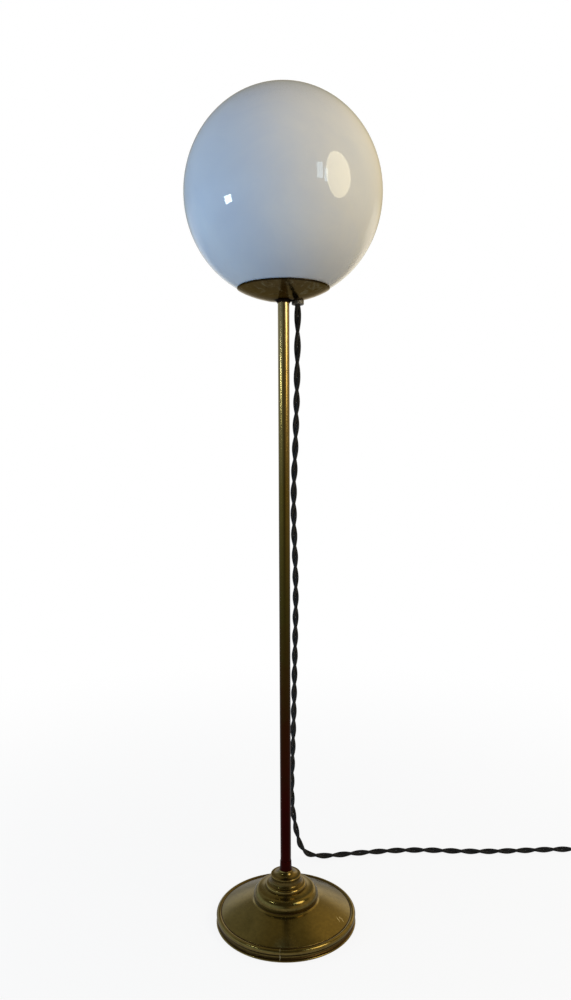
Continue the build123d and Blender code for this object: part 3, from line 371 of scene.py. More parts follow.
tree, takes, gives = start_group(
    "sand grain", {"Iron": (0.1, 0.1, 0.1, 1), "Rust": (0.15, 0.08, 0.04, 1), "Grain Scale": 600.0},
)
place = object_place(tree)
grain = add_noise(tree, place, takes["Grain Scale"], 5.0)
bloom = add_noise(tree, place, 60.0, 6.0)
rust = add_range(tree, bloom, 0.52, 0.68, 0.0, 0.8)
sand_grain = end_group(tree, gives, add_mix(tree, rust, takes["Iron"], takes["Rust"]),
                       add_range(tree, grain, 0.2, 0.8, 0.55, 0.9), grain)

cast_iron = finished("cast iron", sand_grain, {"Metallic": 0.5}, relief=0.0004, Iron=screen(58, 57, 56),
                     Rust=screen(82, 56, 40), Grain_Scale=700.0)
coat_nodes(cast_iron, "base_weight")

felt, tree, shader = new_material("green felt", Sheen_Weight=0.5, Sheen_Roughness=0.6)
place = object_place(tree)
fibre = add_noise(tree, place, 1400.0, 6.0, 0.8, 2.5)
clump = add_noise(tree, place, 120.0, 5.0)
tone = add_mix(tree, add_range(tree, fibre, 0.3, 0.7), screen(34, 52, 38), screen(72, 92, 70))
tree.links.new(add_mix(tree, add_range(tree, clump, 0.4, 0.75, 0, 0.4), tone, screen(88, 88, 76)),
               shader.inputs["Base Color"])
tree.links.new(add_range(tree, fibre, 0.2, 0.8, 0.85, 1.0), shader.inputs["Roughness"])
emboss(tree, shader, fibre, 0.0006)
coat_nodes(felt, "base_felt")


# -------- foot fixings
# Zinc-plated washers, nut and threaded rod that draw the tube, collar, shell and ballast together.
# Commercial steel parts, rolled and stamped, with the soft grey spangle of plating.
tree, takes, gives = start_group(
    "plating",
    {"Steel": (0.5, 0.5, 0.5, 1), "Shade": (0.3, 0.3, 0.3, 1), "Spangle Scale": 260.0, "Shine": 0.3},
)
place = object_place(tree)
spangle = add_noise(tree, place, takes["Spangle Scale"], 5.0, 0.65)
edge = edge_and_recess(tree)
clouded = add_math(tree, "SUBTRACT", add_range(tree, spangle, 0.35, 0.65), add_range(tree, edge, 0.1, 0.8))
plating = end_group(tree, gives, add_mix(tree, clouded, takes["Steel"], takes["Shade"]),
                    add_part(tree, takes["Shine"], spangle, 0.25), spangle)

steel = finished("zinc plated steel", plating, {"Metallic": 1.0}, relief=0.00005,
                 Steel=screen(196, 196, 192), Shade=screen(150, 148, 142))
coat_nodes(steel, "base_washer", "base_lock_washer", "base_nut")


def threaded(pitch, depth, start=0.0, heights=(-math.inf, math.inf), core=0.0):
    """Ripple of a screw thread for lathe(), between these heights and outside the core's radius."""
    def ripple(radius, height, turn):
        if radius < core or not heights[0] < height < heights[1]:
            return radius
        share = height / pitch - turn / (2 * math.pi) + start
        return radius - depth * (0.5 - 0.5 * math.cos(2 * math.pi * share))
    return ripple


def rod_profile(foot, top, bore=0.0, radius=5.0, chamfer=0.8, step=0.16):
    """Profile of a straight threaded rod with chamfered ends and enough rings for its thread."""
    rings = int((top - foot - 2 * chamfer) / step)
    side = [(radius, foot + chamfer + step * ring) for ring in range(rings + 1)]
    return [(bore, foot), (radius - chamfer, foot), *side, (radius - chamfer, top), (bore, top)]


foot_rod = lathe("foot_rod", rod_profile(6.4, 78.0), sides=40, closed=False, ripple=threaded(1.0, 0.5))
dress(foot_rod, steel, "steel", "base_rod")


# -------- foot collar
# Turned brass collar: flange, cove, drum with a thin rim, and a trumpet that rises to the ferrule.
# It has the foot's patina and rubbed rims, and its coves are darkened with painted shade.
collar_brass = finished("collar brass", old_brass, {"Metallic": 0.96}, relief=0.00001,
                        Metal=screen(138, 118, 68), Patina=screen(86, 72, 36), Grime=screen(32, 14, 9),
                        Patina_Amount=0.5, Mottle_Scale=60.0, Speck_Scale=600.0, Speck_Amount=0.4,
                        Rings=0.6, Shine=0.12)

collar_profile = [
    (5.2, 53.0), (28.3, 53.0), (28.9, 53.6),
    *arc((28.9, 55.6), (28.3, 57.4), (26.6, 58.5), 6),
    *arc((26.6, 58.5), (22.6, 60.2), (21.1, 63.4), 12),
    (21.1, 63.4), (21.3, 68.8),
    *arc((21.4, 69.4), (21.3, 70.4), (20.4, 71.0), 6),
    *arc((20.4, 71.0), (12.8, 72.9), (9.4, 77.5), 14),
    (9.4, 77.5), (9.0, 77.5), (9.0, 75.5), (7.5, 75.5), (7.5, 60.0), (5.2, 60.0),
]
foot_collar = lathe("foot_collar", softened(collar_profile, 0.35), sides=128, wear_and_shade_reach=1.6)
dress(foot_collar, collar_brass, "foot_brass", "base_collar")


# -------- tube, ferrule and bushes
# Drawn brass tube with a soldered ferrule at its foot and threaded bushes brazed into both ends.
# Polished lengthways, with a painted reflection: warm gold under the dish, dark red-brown at the foot.
tree, takes, gives = start_group(
    "drawn brass", {"Streak Scale": 500.0, "Patina Amount": 0.4, "Shine": 0.2},
)
place = object_place(tree)
height = add_node(tree, "ShaderNodeSeparateXYZ", {0: place}).outputs[2]
stretched = add_node(tree, "ShaderNodeVectorMath", {0: place, 1: (1.0, 1.0, 0.03)},
                     operation="MULTIPLY").outputs[0]
streak = add_noise(tree, stretched, takes["Streak Scale"], 4.0, 0.6)
cloud = add_noise(tree, place, 28.0, 3.0, distortion=0.8)
climb = add_math(tree, "ADD", height, add_range(tree, cloud, 0.3, 0.7, -0.03, 0.03))
TUBE_FOOT = 0.07
TUBE_TOP = 0.86
climb = add_node(tree, "ShaderNodeMapRange",
                 {"Value": climb, "From Min": TUBE_FOOT, "From Max": TUBE_TOP}).outputs[0]
# Painted reflection: by height, the bright room mirrored near the dish and a dark red floor mirrored at the
# foot.
reflection_tones = add_node(tree, "ShaderNodeValToRGB", {0: climb})
stops = reflection_tones.color_ramp.elements
for stop, colour in (
    (0.0, screen(54, 8, 6)), (0.12, screen(55, 10, 7)), (0.28, screen(58, 30, 8)),
    (0.48, screen(72, 62, 22)), (0.7, screen(98, 82, 36)), (0.9, screen(136, 116, 70)),
    (1.0, screen(168, 148, 106)),
):
    ends = {0.0: stops[0], 1.0: stops[-1]}
    (ends[stop] if stop in ends else stops.new(stop)).color = colour
darker = add_node(tree, "ShaderNodeHueSaturation", {"Color": reflection_tones.outputs[0], "Value": 0.62}).outputs[0]
cover = add_math(tree, "MULTIPLY", add_range(tree, cloud, 0.42, 0.62), takes["Patina Amount"])
toned = add_mix(tree, cover, reflection_tones.outputs[0], darker)
spots = add_node(tree, "ShaderNodeTexVoronoi", {"Vector": place, "Scale": 260.0}).outputs["Distance"]
spot = add_math(tree, "MULTIPLY", add_range(tree, spots, 0.22, 0.08), add_range(tree, cloud, 0.5, 0.6))
toned = add_mix(tree, add_math(tree, "MULTIPLY", spot, 0.6), toned, screen(40, 26, 18))
dull = add_math(tree, "ADD", add_range(tree, streak, 0.3, 0.7, -0.02, 0.03),
                add_range(tree, climb, 0.95, 0.5, 0.0, 0.14))
dull = add_part(tree, add_part(tree, dull, cover, 0.06), spot, 0.25)
dull = add_math(tree, "ADD", dull, takes["Shine"], clamp=True)
drawn_brass = end_group(tree, gives, toned, dull, add_math(tree, "SUBTRACT", streak, spot))

stem_brass = finished("stem brass", drawn_brass, {"Metallic": 0.97}, relief=0.000002, Streak_Scale=900.0,
                      Patina_Amount=0.4, Shine=0.14)
coat_nodes(stem_brass, "stem_tube", "stem_lower_bush", "stem_upper_bush")

ferrule_profile = [
    (7.5, 75.5), (9.0, 75.5),
    *arc((9.0, 78.5), (8.5, 81.0), (8.3, 83.5), 6),
    (8.3, 83.5), (8.05, 90.4), (7.8, 91.0), (7.5, 91.0),
]
ferrule = lathe("stem_sleeve", softened(ferrule_profile, 0.3), sides=72)
dress(ferrule, stem_brass, "stem_brass", "stem_ferrule")


# -------- collar under the dish
# Small turned brass collar between the tube and the dish, flared like a trumpet, nearly black with age.
# The nipple passes through it and draws it against the dish.
dark_brass = finished("dark brass", old_brass, {"Metallic": 0.9, "Specular_Tint": (0.3, 0.25, 0.22, 1.0)},
                      relief=0.00003, Metal=screen(64, 46, 34), Patina=screen(30, 22, 18),
                      Grime=screen(16, 11, 9), Patina_Amount=0.8, Mottle_Scale=120.0, Speck_Scale=700.0,
                      Speck_Amount=0.3, Rings=0.4, Shine=0.06)

GLOBE_CENTRE = 985.5
DISH_OUTSIDE = 126.5
NIPPLE_HOLE = 5.2


def under_dish(reach):
    """Height of the dish's underside this far from the axis."""
    return GLOBE_CENTRE - math.sqrt(DISH_OUTSIDE**2 - reach**2)


top_collar_profile = [
    (NIPPLE_HOLE, 856.3), (8.4, 856.3),
    *arc((8.6, 857.2), (10.0, 858.6), (12.6, under_dish(12.6)), 8),
    (12.6, under_dish(12.6)), (NIPPLE_HOLE, under_dish(NIPPLE_HOLE)),
]
neck = lathe("dish_neck", softened(top_collar_profile, 0.25), sides=96)
dress(neck, dark_brass, "dark_brass", "top_collar")


# -------- dish
# Spun brass dish that follows the globe, drilled for the nipple and for the bushing of the flex.
# Olive brown patina, speckled, under patches of dried polish that was never wiped off.
dish_brass, tree, shader = new_material("dish brass", Metallic=0.97, Specular_Tint=(0.6, 0.54, 0.44, 1.0))
skin = use_group(tree, old_brass, Metal=screen(112, 96, 62), Patina=screen(62, 48, 28),
                 Grime=screen(34, 22, 14), Patina_Amount=0.45, Mottle_Scale=85.0, Speck_Scale=300.0,
                 Speck_Amount=0.9, Rings=0.35, Shine=0.1)
feed(tree, shader, skin, relief=0.00002)

# The film of dried polish, and a painted shadow under the rim where the globe meets it.
# The dark ring round the collar is a painted reflection of the collar in the dish.
place = object_place(tree)
reach = from_axis(tree, place)
dried = add_noise(tree, place, 48.0, 8.0, 0.66, 2.4)
film = add_range(tree, dried, 0.5, 0.68, 0.0, 0.55)
painted_dark_rings = add_math(tree, "MAXIMUM", add_range(tree, reach, 0.024, 0.0125),
                   add_range(tree, reach, 0.0568, 0.0588))
toned = add_mix(tree, film, skin.outputs["Color"], screen(136, 130, 106))
tone = add_mix(tree, add_math(tree, "MULTIPLY", painted_dark_rings, 0.9), toned, screen(24, 15, 10))
tree.links.new(tone, shader.inputs["Base Color"])
tree.links.new(add_part(tree, skin.outputs["Roughness"], film, 0.3), shader.inputs["Roughness"])

DISH_INSIDE = 125.3
DISH_RIM = 59.3
BUSHING_PLACE = (18.5, 12.0)
BUSHING_HOLE = 6.6


def bowl_line(radius, rim, steps=24):
    """Points on a ball about the globe's centre, from the nipple's hole out to the rim."""
    low, high = math.asin(NIPPLE_HOLE / radius), math.asin(rim / radius)
    turns = [low + (high - low) * step / steps for step in range(steps + 1)]
    return [(radius * math.sin(turn), GLOBE_CENTRE - radius * math.cos(turn)) for turn in turns]


outer_dish = bowl_line(DISH_OUTSIDE, DISH_RIM)
inner_dish = bowl_line(DISH_INSIDE, DISH_RIM - 0.5)
rim_middle = ((outer_dish[-1][0] + inner_dish[-1][0]) / 2 + 0.38,
              (outer_dish[-1][1] + inner_dish[-1][1]) / 2 + 0.5)
dish_profile = [*outer_dish[:-1], *arc(outer_dish[-1], rim_middle, inner_dish[-1], 6), *reversed(inner_dish)]
dish = lathe("dish", dish_profile, sides=160)
drill_profile = [(0.0, 850.0), (BUSHING_HOLE, 850.0), (BUSHING_HOLE, 875.0), (0.0, 875.0)]
drill = lathe("drill", drill_profile, sides=48, closed=False, centre=BUSHING_PLACE)
cut = dish.modifiers.new("bushing hole", "BOOLEAN")
cut.operation = "DIFFERENCE"
cut.object = drill
bpy.context.view_layer.update()
drilled = bpy.data.meshes.new_from_object(dish.evaluated_get(bpy.context.evaluated_depsgraph_get()))
dish.modifiers.clear()
dish.data = drilled
bpy.data.objects.remove(drill)
dress(dish, dish_brass, "dish_brass", "gallery_dish")


# -------- dish fixings
# Hollow threaded nipple with the washer and thin nut that clamp the dish, and the pressed steel spider
# whose three sprung arms stand inside the globe's mouth.
nipple = lathe("nipple", rod_profile(839.3, 876.0, bore=3.6), sides=40, ripple=threaded(1.0, 0.45))
dress(nipple, steel, "steel", "top_nipple")
coat_nodes(steel, "glass_spider", "dish_washer", "dish_nut")


# -------- bushing
# Moulded bushing that the flex leaves by, with its nut inside the dish and a small grub screw.
# Grey-brown plastic with mould grain and a greasy bloom.
tree, takes, gives = start_group(
    "moulding", {"Plastic": (0.1, 0.1, 0.1, 1), "Bloom": (0.2, 0.2, 0.2, 1), "Bloom Amount": 0.4,
                 "Grain Scale": 1800.0, "Shine": 0.4},
)
place = object_place(tree)
grain = add_noise(tree, place, takes["Grain Scale"], 2.0)
cloud = add_noise(tree, place, 90.0, 6.0, 0.65)
stretched = add_node(tree, "ShaderNodeMapping", {"Vector": place, "Rotation": (0.3, 0.5, 0.9),
                                                 "Scale": (1.0, 14.0, 14.0)}).outputs[0]
hairline = add_noise(tree, stretched, 110.0, 3.0)
scuff = add_range(tree, hairline, 0.63, 0.7)
edge = edge_and_recess(tree)
bloom = add_math(tree, "MULTIPLY", add_range(tree, cloud, 0.4, 0.7), takes["Bloom Amount"])
bloom = add_part(tree, add_part(tree, bloom, scuff, 0.25), add_range(tree, edge, 0.1, 0.8), 0.3, clamp=True)
dull = add_part(tree, takes["Shine"], bloom, 0.35)
dull = add_math(tree, "ADD", dull, add_range(tree, grain, 0.3, 0.7, -0.03, 0.05), clamp=True)
moulding = end_group(tree, gives, add_mix(tree, bloom, takes["Plastic"], takes["Bloom"]), dull,
                     add_math(tree, "SUBTRACT", grain, scuff))

bushing_plastic = finished("bushing plastic", moulding, relief=0.00005, Plastic=screen(92, 86, 78),
                           Bloom=screen(140, 132, 120), Bloom_Amount=0.5, Shine=0.32)
coat_nodes(bushing_plastic, "cord_bushing", "bushing_nut")

screw_steel = finished("screw steel", plating, {"Metallic": 1.0}, relief=0.00004,
                       Steel=screen(186, 182, 172), Shade=screen(128, 122, 112), Spangle_Scale=500.0)
coat_nodes(screw_steel, "bushing_screw")


# -------- seat ring
# Soft clear ring in the dish that the globe's ground mouth rests on, yellowed and dusty.
# Moulded in rubber and laid in the dish.
seat_rubber = finished("seat rubber", moulding, {"Subsurface_Weight": 0.2, "Subsurface_Scale": 0.002},
                       relief=0.00005, Plastic=screen(214, 208, 190), Bloom=screen(176, 166, 140),
                       Bloom_Amount=0.6, Shine=0.42)
coat_nodes(seat_rubber, "globe_seat")


# -------- lampholder
# Dark moulded thermoset shells round a glazed porcelain insert, with a rolled brass thread for the bulb
# and brass terminals for the two cores.
holder_plastic = finished("holder plastic", moulding, {"Coat_Weight": 0.3, "Coat_Roughness": 0.1},
                          relief=0.00003, Plastic=screen(46, 38, 33), Bloom=screen(84, 70, 60),
                          Bloom_Amount=0.4, Shine=0.22)
coat_nodes(holder_plastic, "holder_cap")

SKIRT_RADIUS = 19.5
SKIRT_FOOT = 889.0


def ribbed(radius, height, turn):
    """Grip ribs round the lower half of the skirt."""
    if radius < 19.0 or not 892.0 < height < 906.0:
        return radius
    return radius - 0.45 * (0.5 - 0.5 * math.cos(40 * turn))


skirt_side = [(SKIRT_RADIUS, SKIRT_FOOT + 0.8 * step) for step in range(38)]
skirt_lip = [*arc((SKIRT_RADIUS, 919.5), (18.9, 920.9), (17.5, 921.5), 6),
             (17.5, 921.5), (14.9, 921.5), (14.9, 919.4), (17.5, 919.4)]
skirt = lathe("holder_sleeve", [(17.5, SKIRT_FOOT), *skirt_side, *softened(skirt_lip, 0.3, closed=False)],
              sides=240, ripple=ribbed)
dress(skirt, holder_plastic, "holder_plastic", "holder_skirt")

porcelain = finished("porcelain", moulding, {"Coat_Weight": 0.6, "Coat_Roughness": 0.05}, relief=0.00002,
                     Plastic=screen(228, 224, 212), Bloom=screen(196, 184, 160), Bloom_Amount=0.35,
                     Shine=0.25)
coat_nodes(porcelain, "holder_insert")

bright_brass = finished("contact brass", old_brass, {"Metallic": 1.0}, relief=0.00003,
                        Metal=screen(214, 186, 116), Patina=screen(176, 146, 84), Grime=screen(90, 66, 40),
                        Patina_Amount=0.35, Mottle_Scale=160.0, Speck_Scale=900.0, Speck_Amount=0.3,
                        Rings=0.2, Shine=0.22)
coat_nodes(bright_brass, "holder_contact", "holder_terminals")
coat_nodes(screw_steel, "holder_terminal_screws")

BULB_PITCH = 3.62
shell_heights = [893.2 + 0.45 * step for step in range(56)]
shell_profile = [*[(13.75, height) for height in shell_heights],
                 *[(13.4, height) for height in reversed(shell_heights)]]
thread_shell = lathe("thread_shell", shell_profile, sides=64, ripple=threaded(BULB_PITCH, -0.35))
dress(thread_shell, bright_brass, "contact_brass", "holder_thread_shell")


# -------- bulb
# Frosted glass bulb in a rolled aluminium cap, with a dark glass insulator and a solder contact.
# It screws into the lampholder and is first seen when the globe is lifted off.
frosted_skin = {"Subsurface_Weight": 0.25, "Subsurface_Scale": 0.004, "Coat_Weight": 0.4,
                "Coat_Roughness": 0.15}
frosted = finished("frosted glass", moulding, frosted_skin, relief=0.00002, Plastic=screen(236, 236, 230),
                   Bloom=screen(214, 210, 198), Bloom_Amount=0.3, Shine=0.34)
bulb_profile = [
    (0.0, 922.0), (12.8, 922.0),
    *arc((13.0, 925.0), (15.6, 934.6), (19.2, 946.0), 10),
    *arc((19.2, 946.0), (21.0, 951.0), (23.2, 956.0), 6),
    *arc((23.2, 956.0), (30.0, 975.0), (0.0, 1005.0), 36),
    (0.0, 1005.0),
]
bulb = lathe("bulb_envelope", bulb_profile, sides=96, closed=False)
dress(bulb, frosted, "bulb_frosted_glass", "bulb_glass", body="bulb")

cap_metal = finished("cap aluminium", plating, {"Metallic": 1.0}, relief=0.00003,
                     Steel=screen(206, 205, 200), Shade=screen(170, 168, 162), Spangle_Scale=400.0,
                     Shine=0.26)
cap_side = [(13.2, 902.4 + 0.4 * step) for step in range(46)]
cap_profile = [(0.0, 899.8), (11.0, 899.8), (12.4, 901.0), *cap_side, (12.9, 921.4), (13.5, 922.4),
               (13.9, 925.0), (13.4, 925.0), (12.9, 922.0), (0.0, 922.0)]
bulb_cap = lathe("bulb_screw_cap", cap_profile, sides=72, closed=False,
                 ripple=threaded(BULB_PITCH, 0.75, start=0.5, heights=(902.0, 920.6), core=13.1))
dress(bulb_cap, cap_metal, "bulb_aluminium", "bulb_cap", body="bulb")

insulator = finished("insulator glass", moulding, {"Coat_Weight": 0.7, "Coat_Roughness": 0.04},
                     relief=0.00002, Plastic=screen(30, 30, 36), Bloom=screen(58, 58, 64), Bloom_Amount=0.3,
                     Shine=0.15)
coat_nodes(insulator, "bulb_insulator")
solder = finished("solder", plating, {"Metallic": 1.0}, relief=0.0001, Steel=screen(190, 190, 188),
                  Shade=screen(130, 128, 124), Spangle_Scale=800.0, Shine=0.4)
coat_nodes(solder, "bulb_contact")


# -------- globe
# Blown opal glass globe, white glass cased in clear, with a ground flat mouth that rests on the seat.
# Glossy, faintly grey, with a little dust on its crown and wiping marks.
opal, tree, shader = new_material("opal glass", IOR=1.5, Coat_Weight=1.0, Coat_Roughness=0.012, Coat_IOR=1.5,
                                  Specular_IOR_Level=0.0)
place = object_place(tree)
cloud = add_noise(tree, place, 9.0, 5.0, 0.6, 0.7)
streaks = add_node(tree, "ShaderNodeMapping", {"Vector": place, "Rotation": (0.4, 0.7, 0.2),
                                               "Scale": (9.0, 1.4, 9.0)}).outputs[0]
wiped = add_noise(tree, streaks, 14.0, 6.0)
dust = add_noise(tree, place, 700.0, 3.0)
height = add_node(tree, "ShaderNodeSeparateXYZ", {0: place}).outputs[2]
crown = add_range(tree, height, 1.04, 1.11)
dusty = add_math(tree, "MULTIPLY", add_range(tree, dust, 0.5, 0.68), crown)
tone = add_mix(tree, add_range(tree, cloud, 0.3, 0.7), screen(213, 214, 220), screen(222, 221, 222))
tone = add_mix(tree, add_math(tree, "MULTIPLY", dusty, 0.5), tone, screen(170, 166, 156))
tree.links.new(tone, shader.inputs["Base Color"])
smear = add_part(tree, add_range(tree, wiped, 0.45, 0.75, 0.1, 0.24), dusty, 0.3)
tree.links.new(smear, shader.inputs["Roughness"])
emboss(tree, shader, add_noise(tree, place, 16.0, 1.0), 0.0004, 0.35)

GLOBE_OUTSIDE = 124.95
GLOBE_INSIDE = 122.4
MOUTH_DROP = 114.5


def half_ball(radius, steps):
    """Points up the side of the globe, from its ground mouth to the top."""
    mouth = (math.sqrt(radius**2 - MOUTH_DROP**2), GLOBE_CENTRE - MOUTH_DROP)
    top = (0.0, GLOBE_CENTRE + radius)
    return [*arc(mouth, (radius, GLOBE_CENTRE), top, steps), top]


globe_profile = [*half_ball(GLOBE_OUTSIDE, 90), *reversed(half_ball(GLOBE_INSIDE, 60))]
globe = lathe("globe_glass", globe_profile, sides=192)
dress(globe, opal, "opal_glass", "globe", body="globe")


# -------- flex from the bushing to the switch
# Two braided cores twisted together, half a turn every 31 mm. They hang behind the tube, lean back to the
# floor and run off to the right, to the rocker switch.
CORE = 0.0046
TWIST_PITCH = 0.062
POINT_STEP = 0.0026


def guide_points(name, control, resolution):
    """Points read from a smooth NURBS spline through a route's control points, in metres."""
    curve = bpy.data.curves.new(name, "CURVE")
    curve.dimensions = "3D"
    curve.resolution_u = resolution
    spline = curve.splines.new("NURBS")
    spline.points.add(len(control) - 1)
    for point, place in zip(spline.points, control):
        point.co = (*place, 1.0)
    spline.order_u = 3
    spline.use_endpoint_u = True
    guide = new_object(name, curve)
    bpy.context.view_layer.update()
    line = bpy.data.meshes.new_from_object(guide.evaluated_get(bpy.context.evaluated_depsgraph_get()))
    points = [vertex.co.copy() for vertex in line.vertices]
    bpy.data.objects.remove(guide)
    bpy.data.meshes.remove(line)
    return points


def evenly(points, step):
    """The same line as points an equal step apart, near this one, and that step."""
    lengths = [0.0]
    for first, second in zip(points, points[1:]):
        lengths.append(lengths[-1] + (second - first).length)
    total = lengths[-1]
    count = max(2, round(total / step))
    made = []
    place = 0
    for index in range(count + 1):
        want = total * index / count
        while place < len(lengths) - 2 and lengths[place + 1] < want:
            place += 1
        share = (want - lengths[place]) / max(lengths[place + 1] - lengths[place], 1e-9)
        made.append(points[place].lerp(points[place + 1], min(max(share, 0.0), 1.0)))
    return made, total / count


def twisted_pair(name, control, resolution, start_turn=0.0, slack=0.0, sides=14):
    """Two round cores wound about each other along a route, as one mesh with a braid map; and its line.

    The twist is looser by the share slack over the first 100 mm. The cores are drawn a hair thinner than
    they are, so that they don't cut into each other.
    """
    radius = 0.995 * CORE / 2
    line, step = evenly(guide_points(name + "_guide", control, resolution), POINT_STEP)
    mesh = bpy.data.meshes.new(name)
    shape = bmesh.new()
    braid = shape.loops.layers.uv.new("braid")
    ways = [(line[min(i + 1, len(line) - 1)] - line[max(i - 1, 0)]).normalized() for i in range(len(line))]
    side_way = ways[0].orthogonal().normalized()
    frames = []
    for way in ways:
        side_way = (side_way - way * side_way.dot(way)).normalized()
        frames.append((side_way.copy(), way.cross(side_way)))
    for core in (0, 1):
        centres = []
        for index, (point, (right, up)) in enumerate(zip(line, frames)):
            run = index * step - slack * min(index * step, 0.1)
            turn = start_turn + math.pi * core + 2 * math.pi * run / TWIST_PITCH
            centres.append(point + (right * math.cos(turn) + up * math.sin(turn)) * CORE / 2)
        rings = []
        for index, centre in enumerate(centres):
            way = (centres[min(index + 1, len(centres) - 1)] - centres[max(index - 1, 0)]).normalized()
            right = frames[index][0]
            right = (right - way * right.dot(way)).normalized()
            up = way.cross(right)
            ring = []
            for side in range(sides):
                turn = 2 * math.pi * side / sides
                outwards = right * math.cos(turn) + up * math.sin(turn)
                ring.append(shape.verts.new(centre + outwards * radius))
            rings.append(ring)
        for index, (lower, upper) in enumerate(zip(rings, rings[1:])):
            for side in range(sides):
                after = (side + 1) % sides
                face = shape.faces.new((lower[side], lower[after], upper[after], upper[side]))
                corners = ((side, index), (side + 1, index), (side + 1, index + 1), (side, index + 1))
                for loop, (around, along) in zip(face.loops, corners):
                    loop[braid].uv = (around / sides, along * step / (math.pi * CORE))
        shape.faces.new(reversed(rings[0]))
        shape.faces.new(rings[-1])
    shape.to_mesh(mesh)
    shape.free()
    mesh.shade_smooth()
    return new_object(name, mesh), line


# Braid: two families of threads that cross on the slant, over and under, with stray pale fibres.
tree, takes, gives = start_group(
    "braid", {"Thread": (0.03, 0.03, 0.03, 1), "Gap": (0.01, 0.01, 0.01, 1), "Lint": (0.1, 0.1, 0.1, 1),
              "Carriers": 8.0},
)
sheet = add_node(tree, "ShaderNodeUVMap", uv_map="braid").outputs[0]
around, along, _ = add_node(tree, "ShaderNodeSeparateXYZ", {0: sheet}).outputs
turned = add_math(tree, "MULTIPLY", around, takes["Carriers"])
wound = add_math(tree, "MULTIPLY", along, takes["Carriers"])
left = add_math(tree, "ADD", turned, wound)
right = add_math(tree, "SUBTRACT", turned, wound)
crests = []
for hand in (left, right):
    phase = add_math(tree, "FRACT", hand)
    crests.append(add_math(tree, "SINE", add_math(tree, "MULTIPLY", phase, math.pi)))
cell = add_math(tree, "ADD", add_math(tree, "FLOOR", left), add_math(tree, "FLOOR", right))
over = add_math(tree, "ABSOLUTE", add_math(tree, "MODULO", cell, 2.0))
first = add_math(tree, "MULTIPLY", crests[0], over)
second = add_math(tree, "MULTIPLY", crests[1], add_math(tree, "SUBTRACT", 1.0, over))
weave = add_math(tree, "ADD", first, second, clamp=True)
place = object_place(tree)
fluff = add_noise(tree, place, 2600.0, 4.0, 0.75, 1.5)
worn = add_noise(tree, place, 55.0, 5.0)
tone = add_mix(tree, add_range(tree, weave, 0.15, 0.7), takes["Gap"], takes["Thread"])
lint = add_math(tree, "MULTIPLY", add_range(tree, fluff, 0.6, 0.78),
                add_range(tree, worn, 0.35, 0.7, 0.2, 0.9))
braiding = end_group(tree, gives, add_mix(tree, lint, tone, takes["Lint"]),
                     add_range(tree, fluff, 0.2, 0.8, 0.78, 0.95), add_part(tree, weave, fluff, 0.3))

flex_braid = finished("flex braid", braiding,
                      {"Sheen_Weight": 0.12, "Sheen_Roughness": 0.5, "Specular_IOR_Level": 0.25},
                      relief=0.0003, Thread=screen(30, 28, 27), Gap=screen(12, 11, 11),
                      Lint=screen(66, 62, 58))

HANGING_ROUTE = [
    (0.0185, 0.012, 0.8582), (0.0183, 0.013, 0.798), (0.016, 0.035, 0.690), (0.012, 0.051, 0.594),
    (0.0166, 0.070, 0.478), (0.0146, 0.091, 0.362), (0.0126, 0.112, 0.244), (0.0088, 0.132, 0.130),
    (0.0135, 0.142, 0.080), (0.026, 0.1545, 0.018), (0.060, 0.167, 0.0047), (0.118, 0.179, 0.0047),
    (0.214, 0.190, 0.0047), (0.312, 0.181, 0.0047), (0.392, 0.184, 0.0047), (0.447, 0.184, 0.0070),
    (0.495, 0.184, 0.0070),
]
hanging_flex, hanging_line = twisted_pair("hanging_flex", HANGING_ROUTE, 40, start_turn=-0.5, slack=0.2)
dress(hanging_flex, flex_braid, "flex_braid", "flex_hanging")
coat_nodes(flex_braid, "lead_live", "lead_neutral")


# -------- rocker switch
# In-line switch in two moulded halves held by two screws, with a rocker that tips on its trunnions.
# Black thermoset with a soft gloss; the flex goes in at one end and comes out at the other.
switch_plastic = finished("switch plastic", moulding, {"Coat_Weight": 0.25, "Coat_Roughness": 0.12},
                          relief=0.00003, Plastic=screen(34, 32, 31), Bloom=screen(70, 66, 62),
                          Bloom_Amount=0.4, Shine=0.26)
coat_nodes(switch_plastic, "switch_lower_half", "switch_upper_half")
rocker_plastic = finished("rocker plastic", moulding, {"Coat_Weight": 0.35, "Coat_Roughness": 0.08},
                          relief=0.00002, Plastic=screen(44, 41, 39), Bloom=screen(86, 80, 75),
                          Bloom_Amount=0.5, Shine=0.2)
coat_nodes(rocker_plastic, "switch_rocker")
coat_nodes(screw_steel, "switch_screws")


# -------- stored coil
# The rest of the flex, wound in two layers and tied, from the switch to the plug. It winds inwards on the
# floor, climbs, and winds outwards on top. The turns are points of the flex's own spline.
COIL_X = 0.640
COIL_Y = 0.126
COIL_REACH = 0.058
COIL_PITCH = 0.0098
COIL_TURNS = 3.25
COIL_LOW = 0.0058
COIL_STEP = 0.0099
CLIMB_START = 1.375
CLIMB_TURNS = 0.5
POINTS_PER_TURN = 16


def coil_place(turn):
    """Point of the coil after so many turns, a little outside its line, which the spline cuts."""
    outside = math.cos(math.pi / POINTS_PER_TURN) ** -0.75
    reach = (COIL_REACH - COIL_PITCH * min(turn, COIL_TURNS - turn)) * outside
    climbed = min(max((turn - CLIMB_START) / CLIMB_TURNS, 0.0), 1.0)
    rise = climbed * climbed * (3 - 2 * climbed)
    angle = math.pi / 2 - 2 * math.pi * turn
    return (COIL_X + reach * math.cos(angle), COIL_Y + reach * math.sin(angle), COIL_LOW + COIL_STEP * rise)


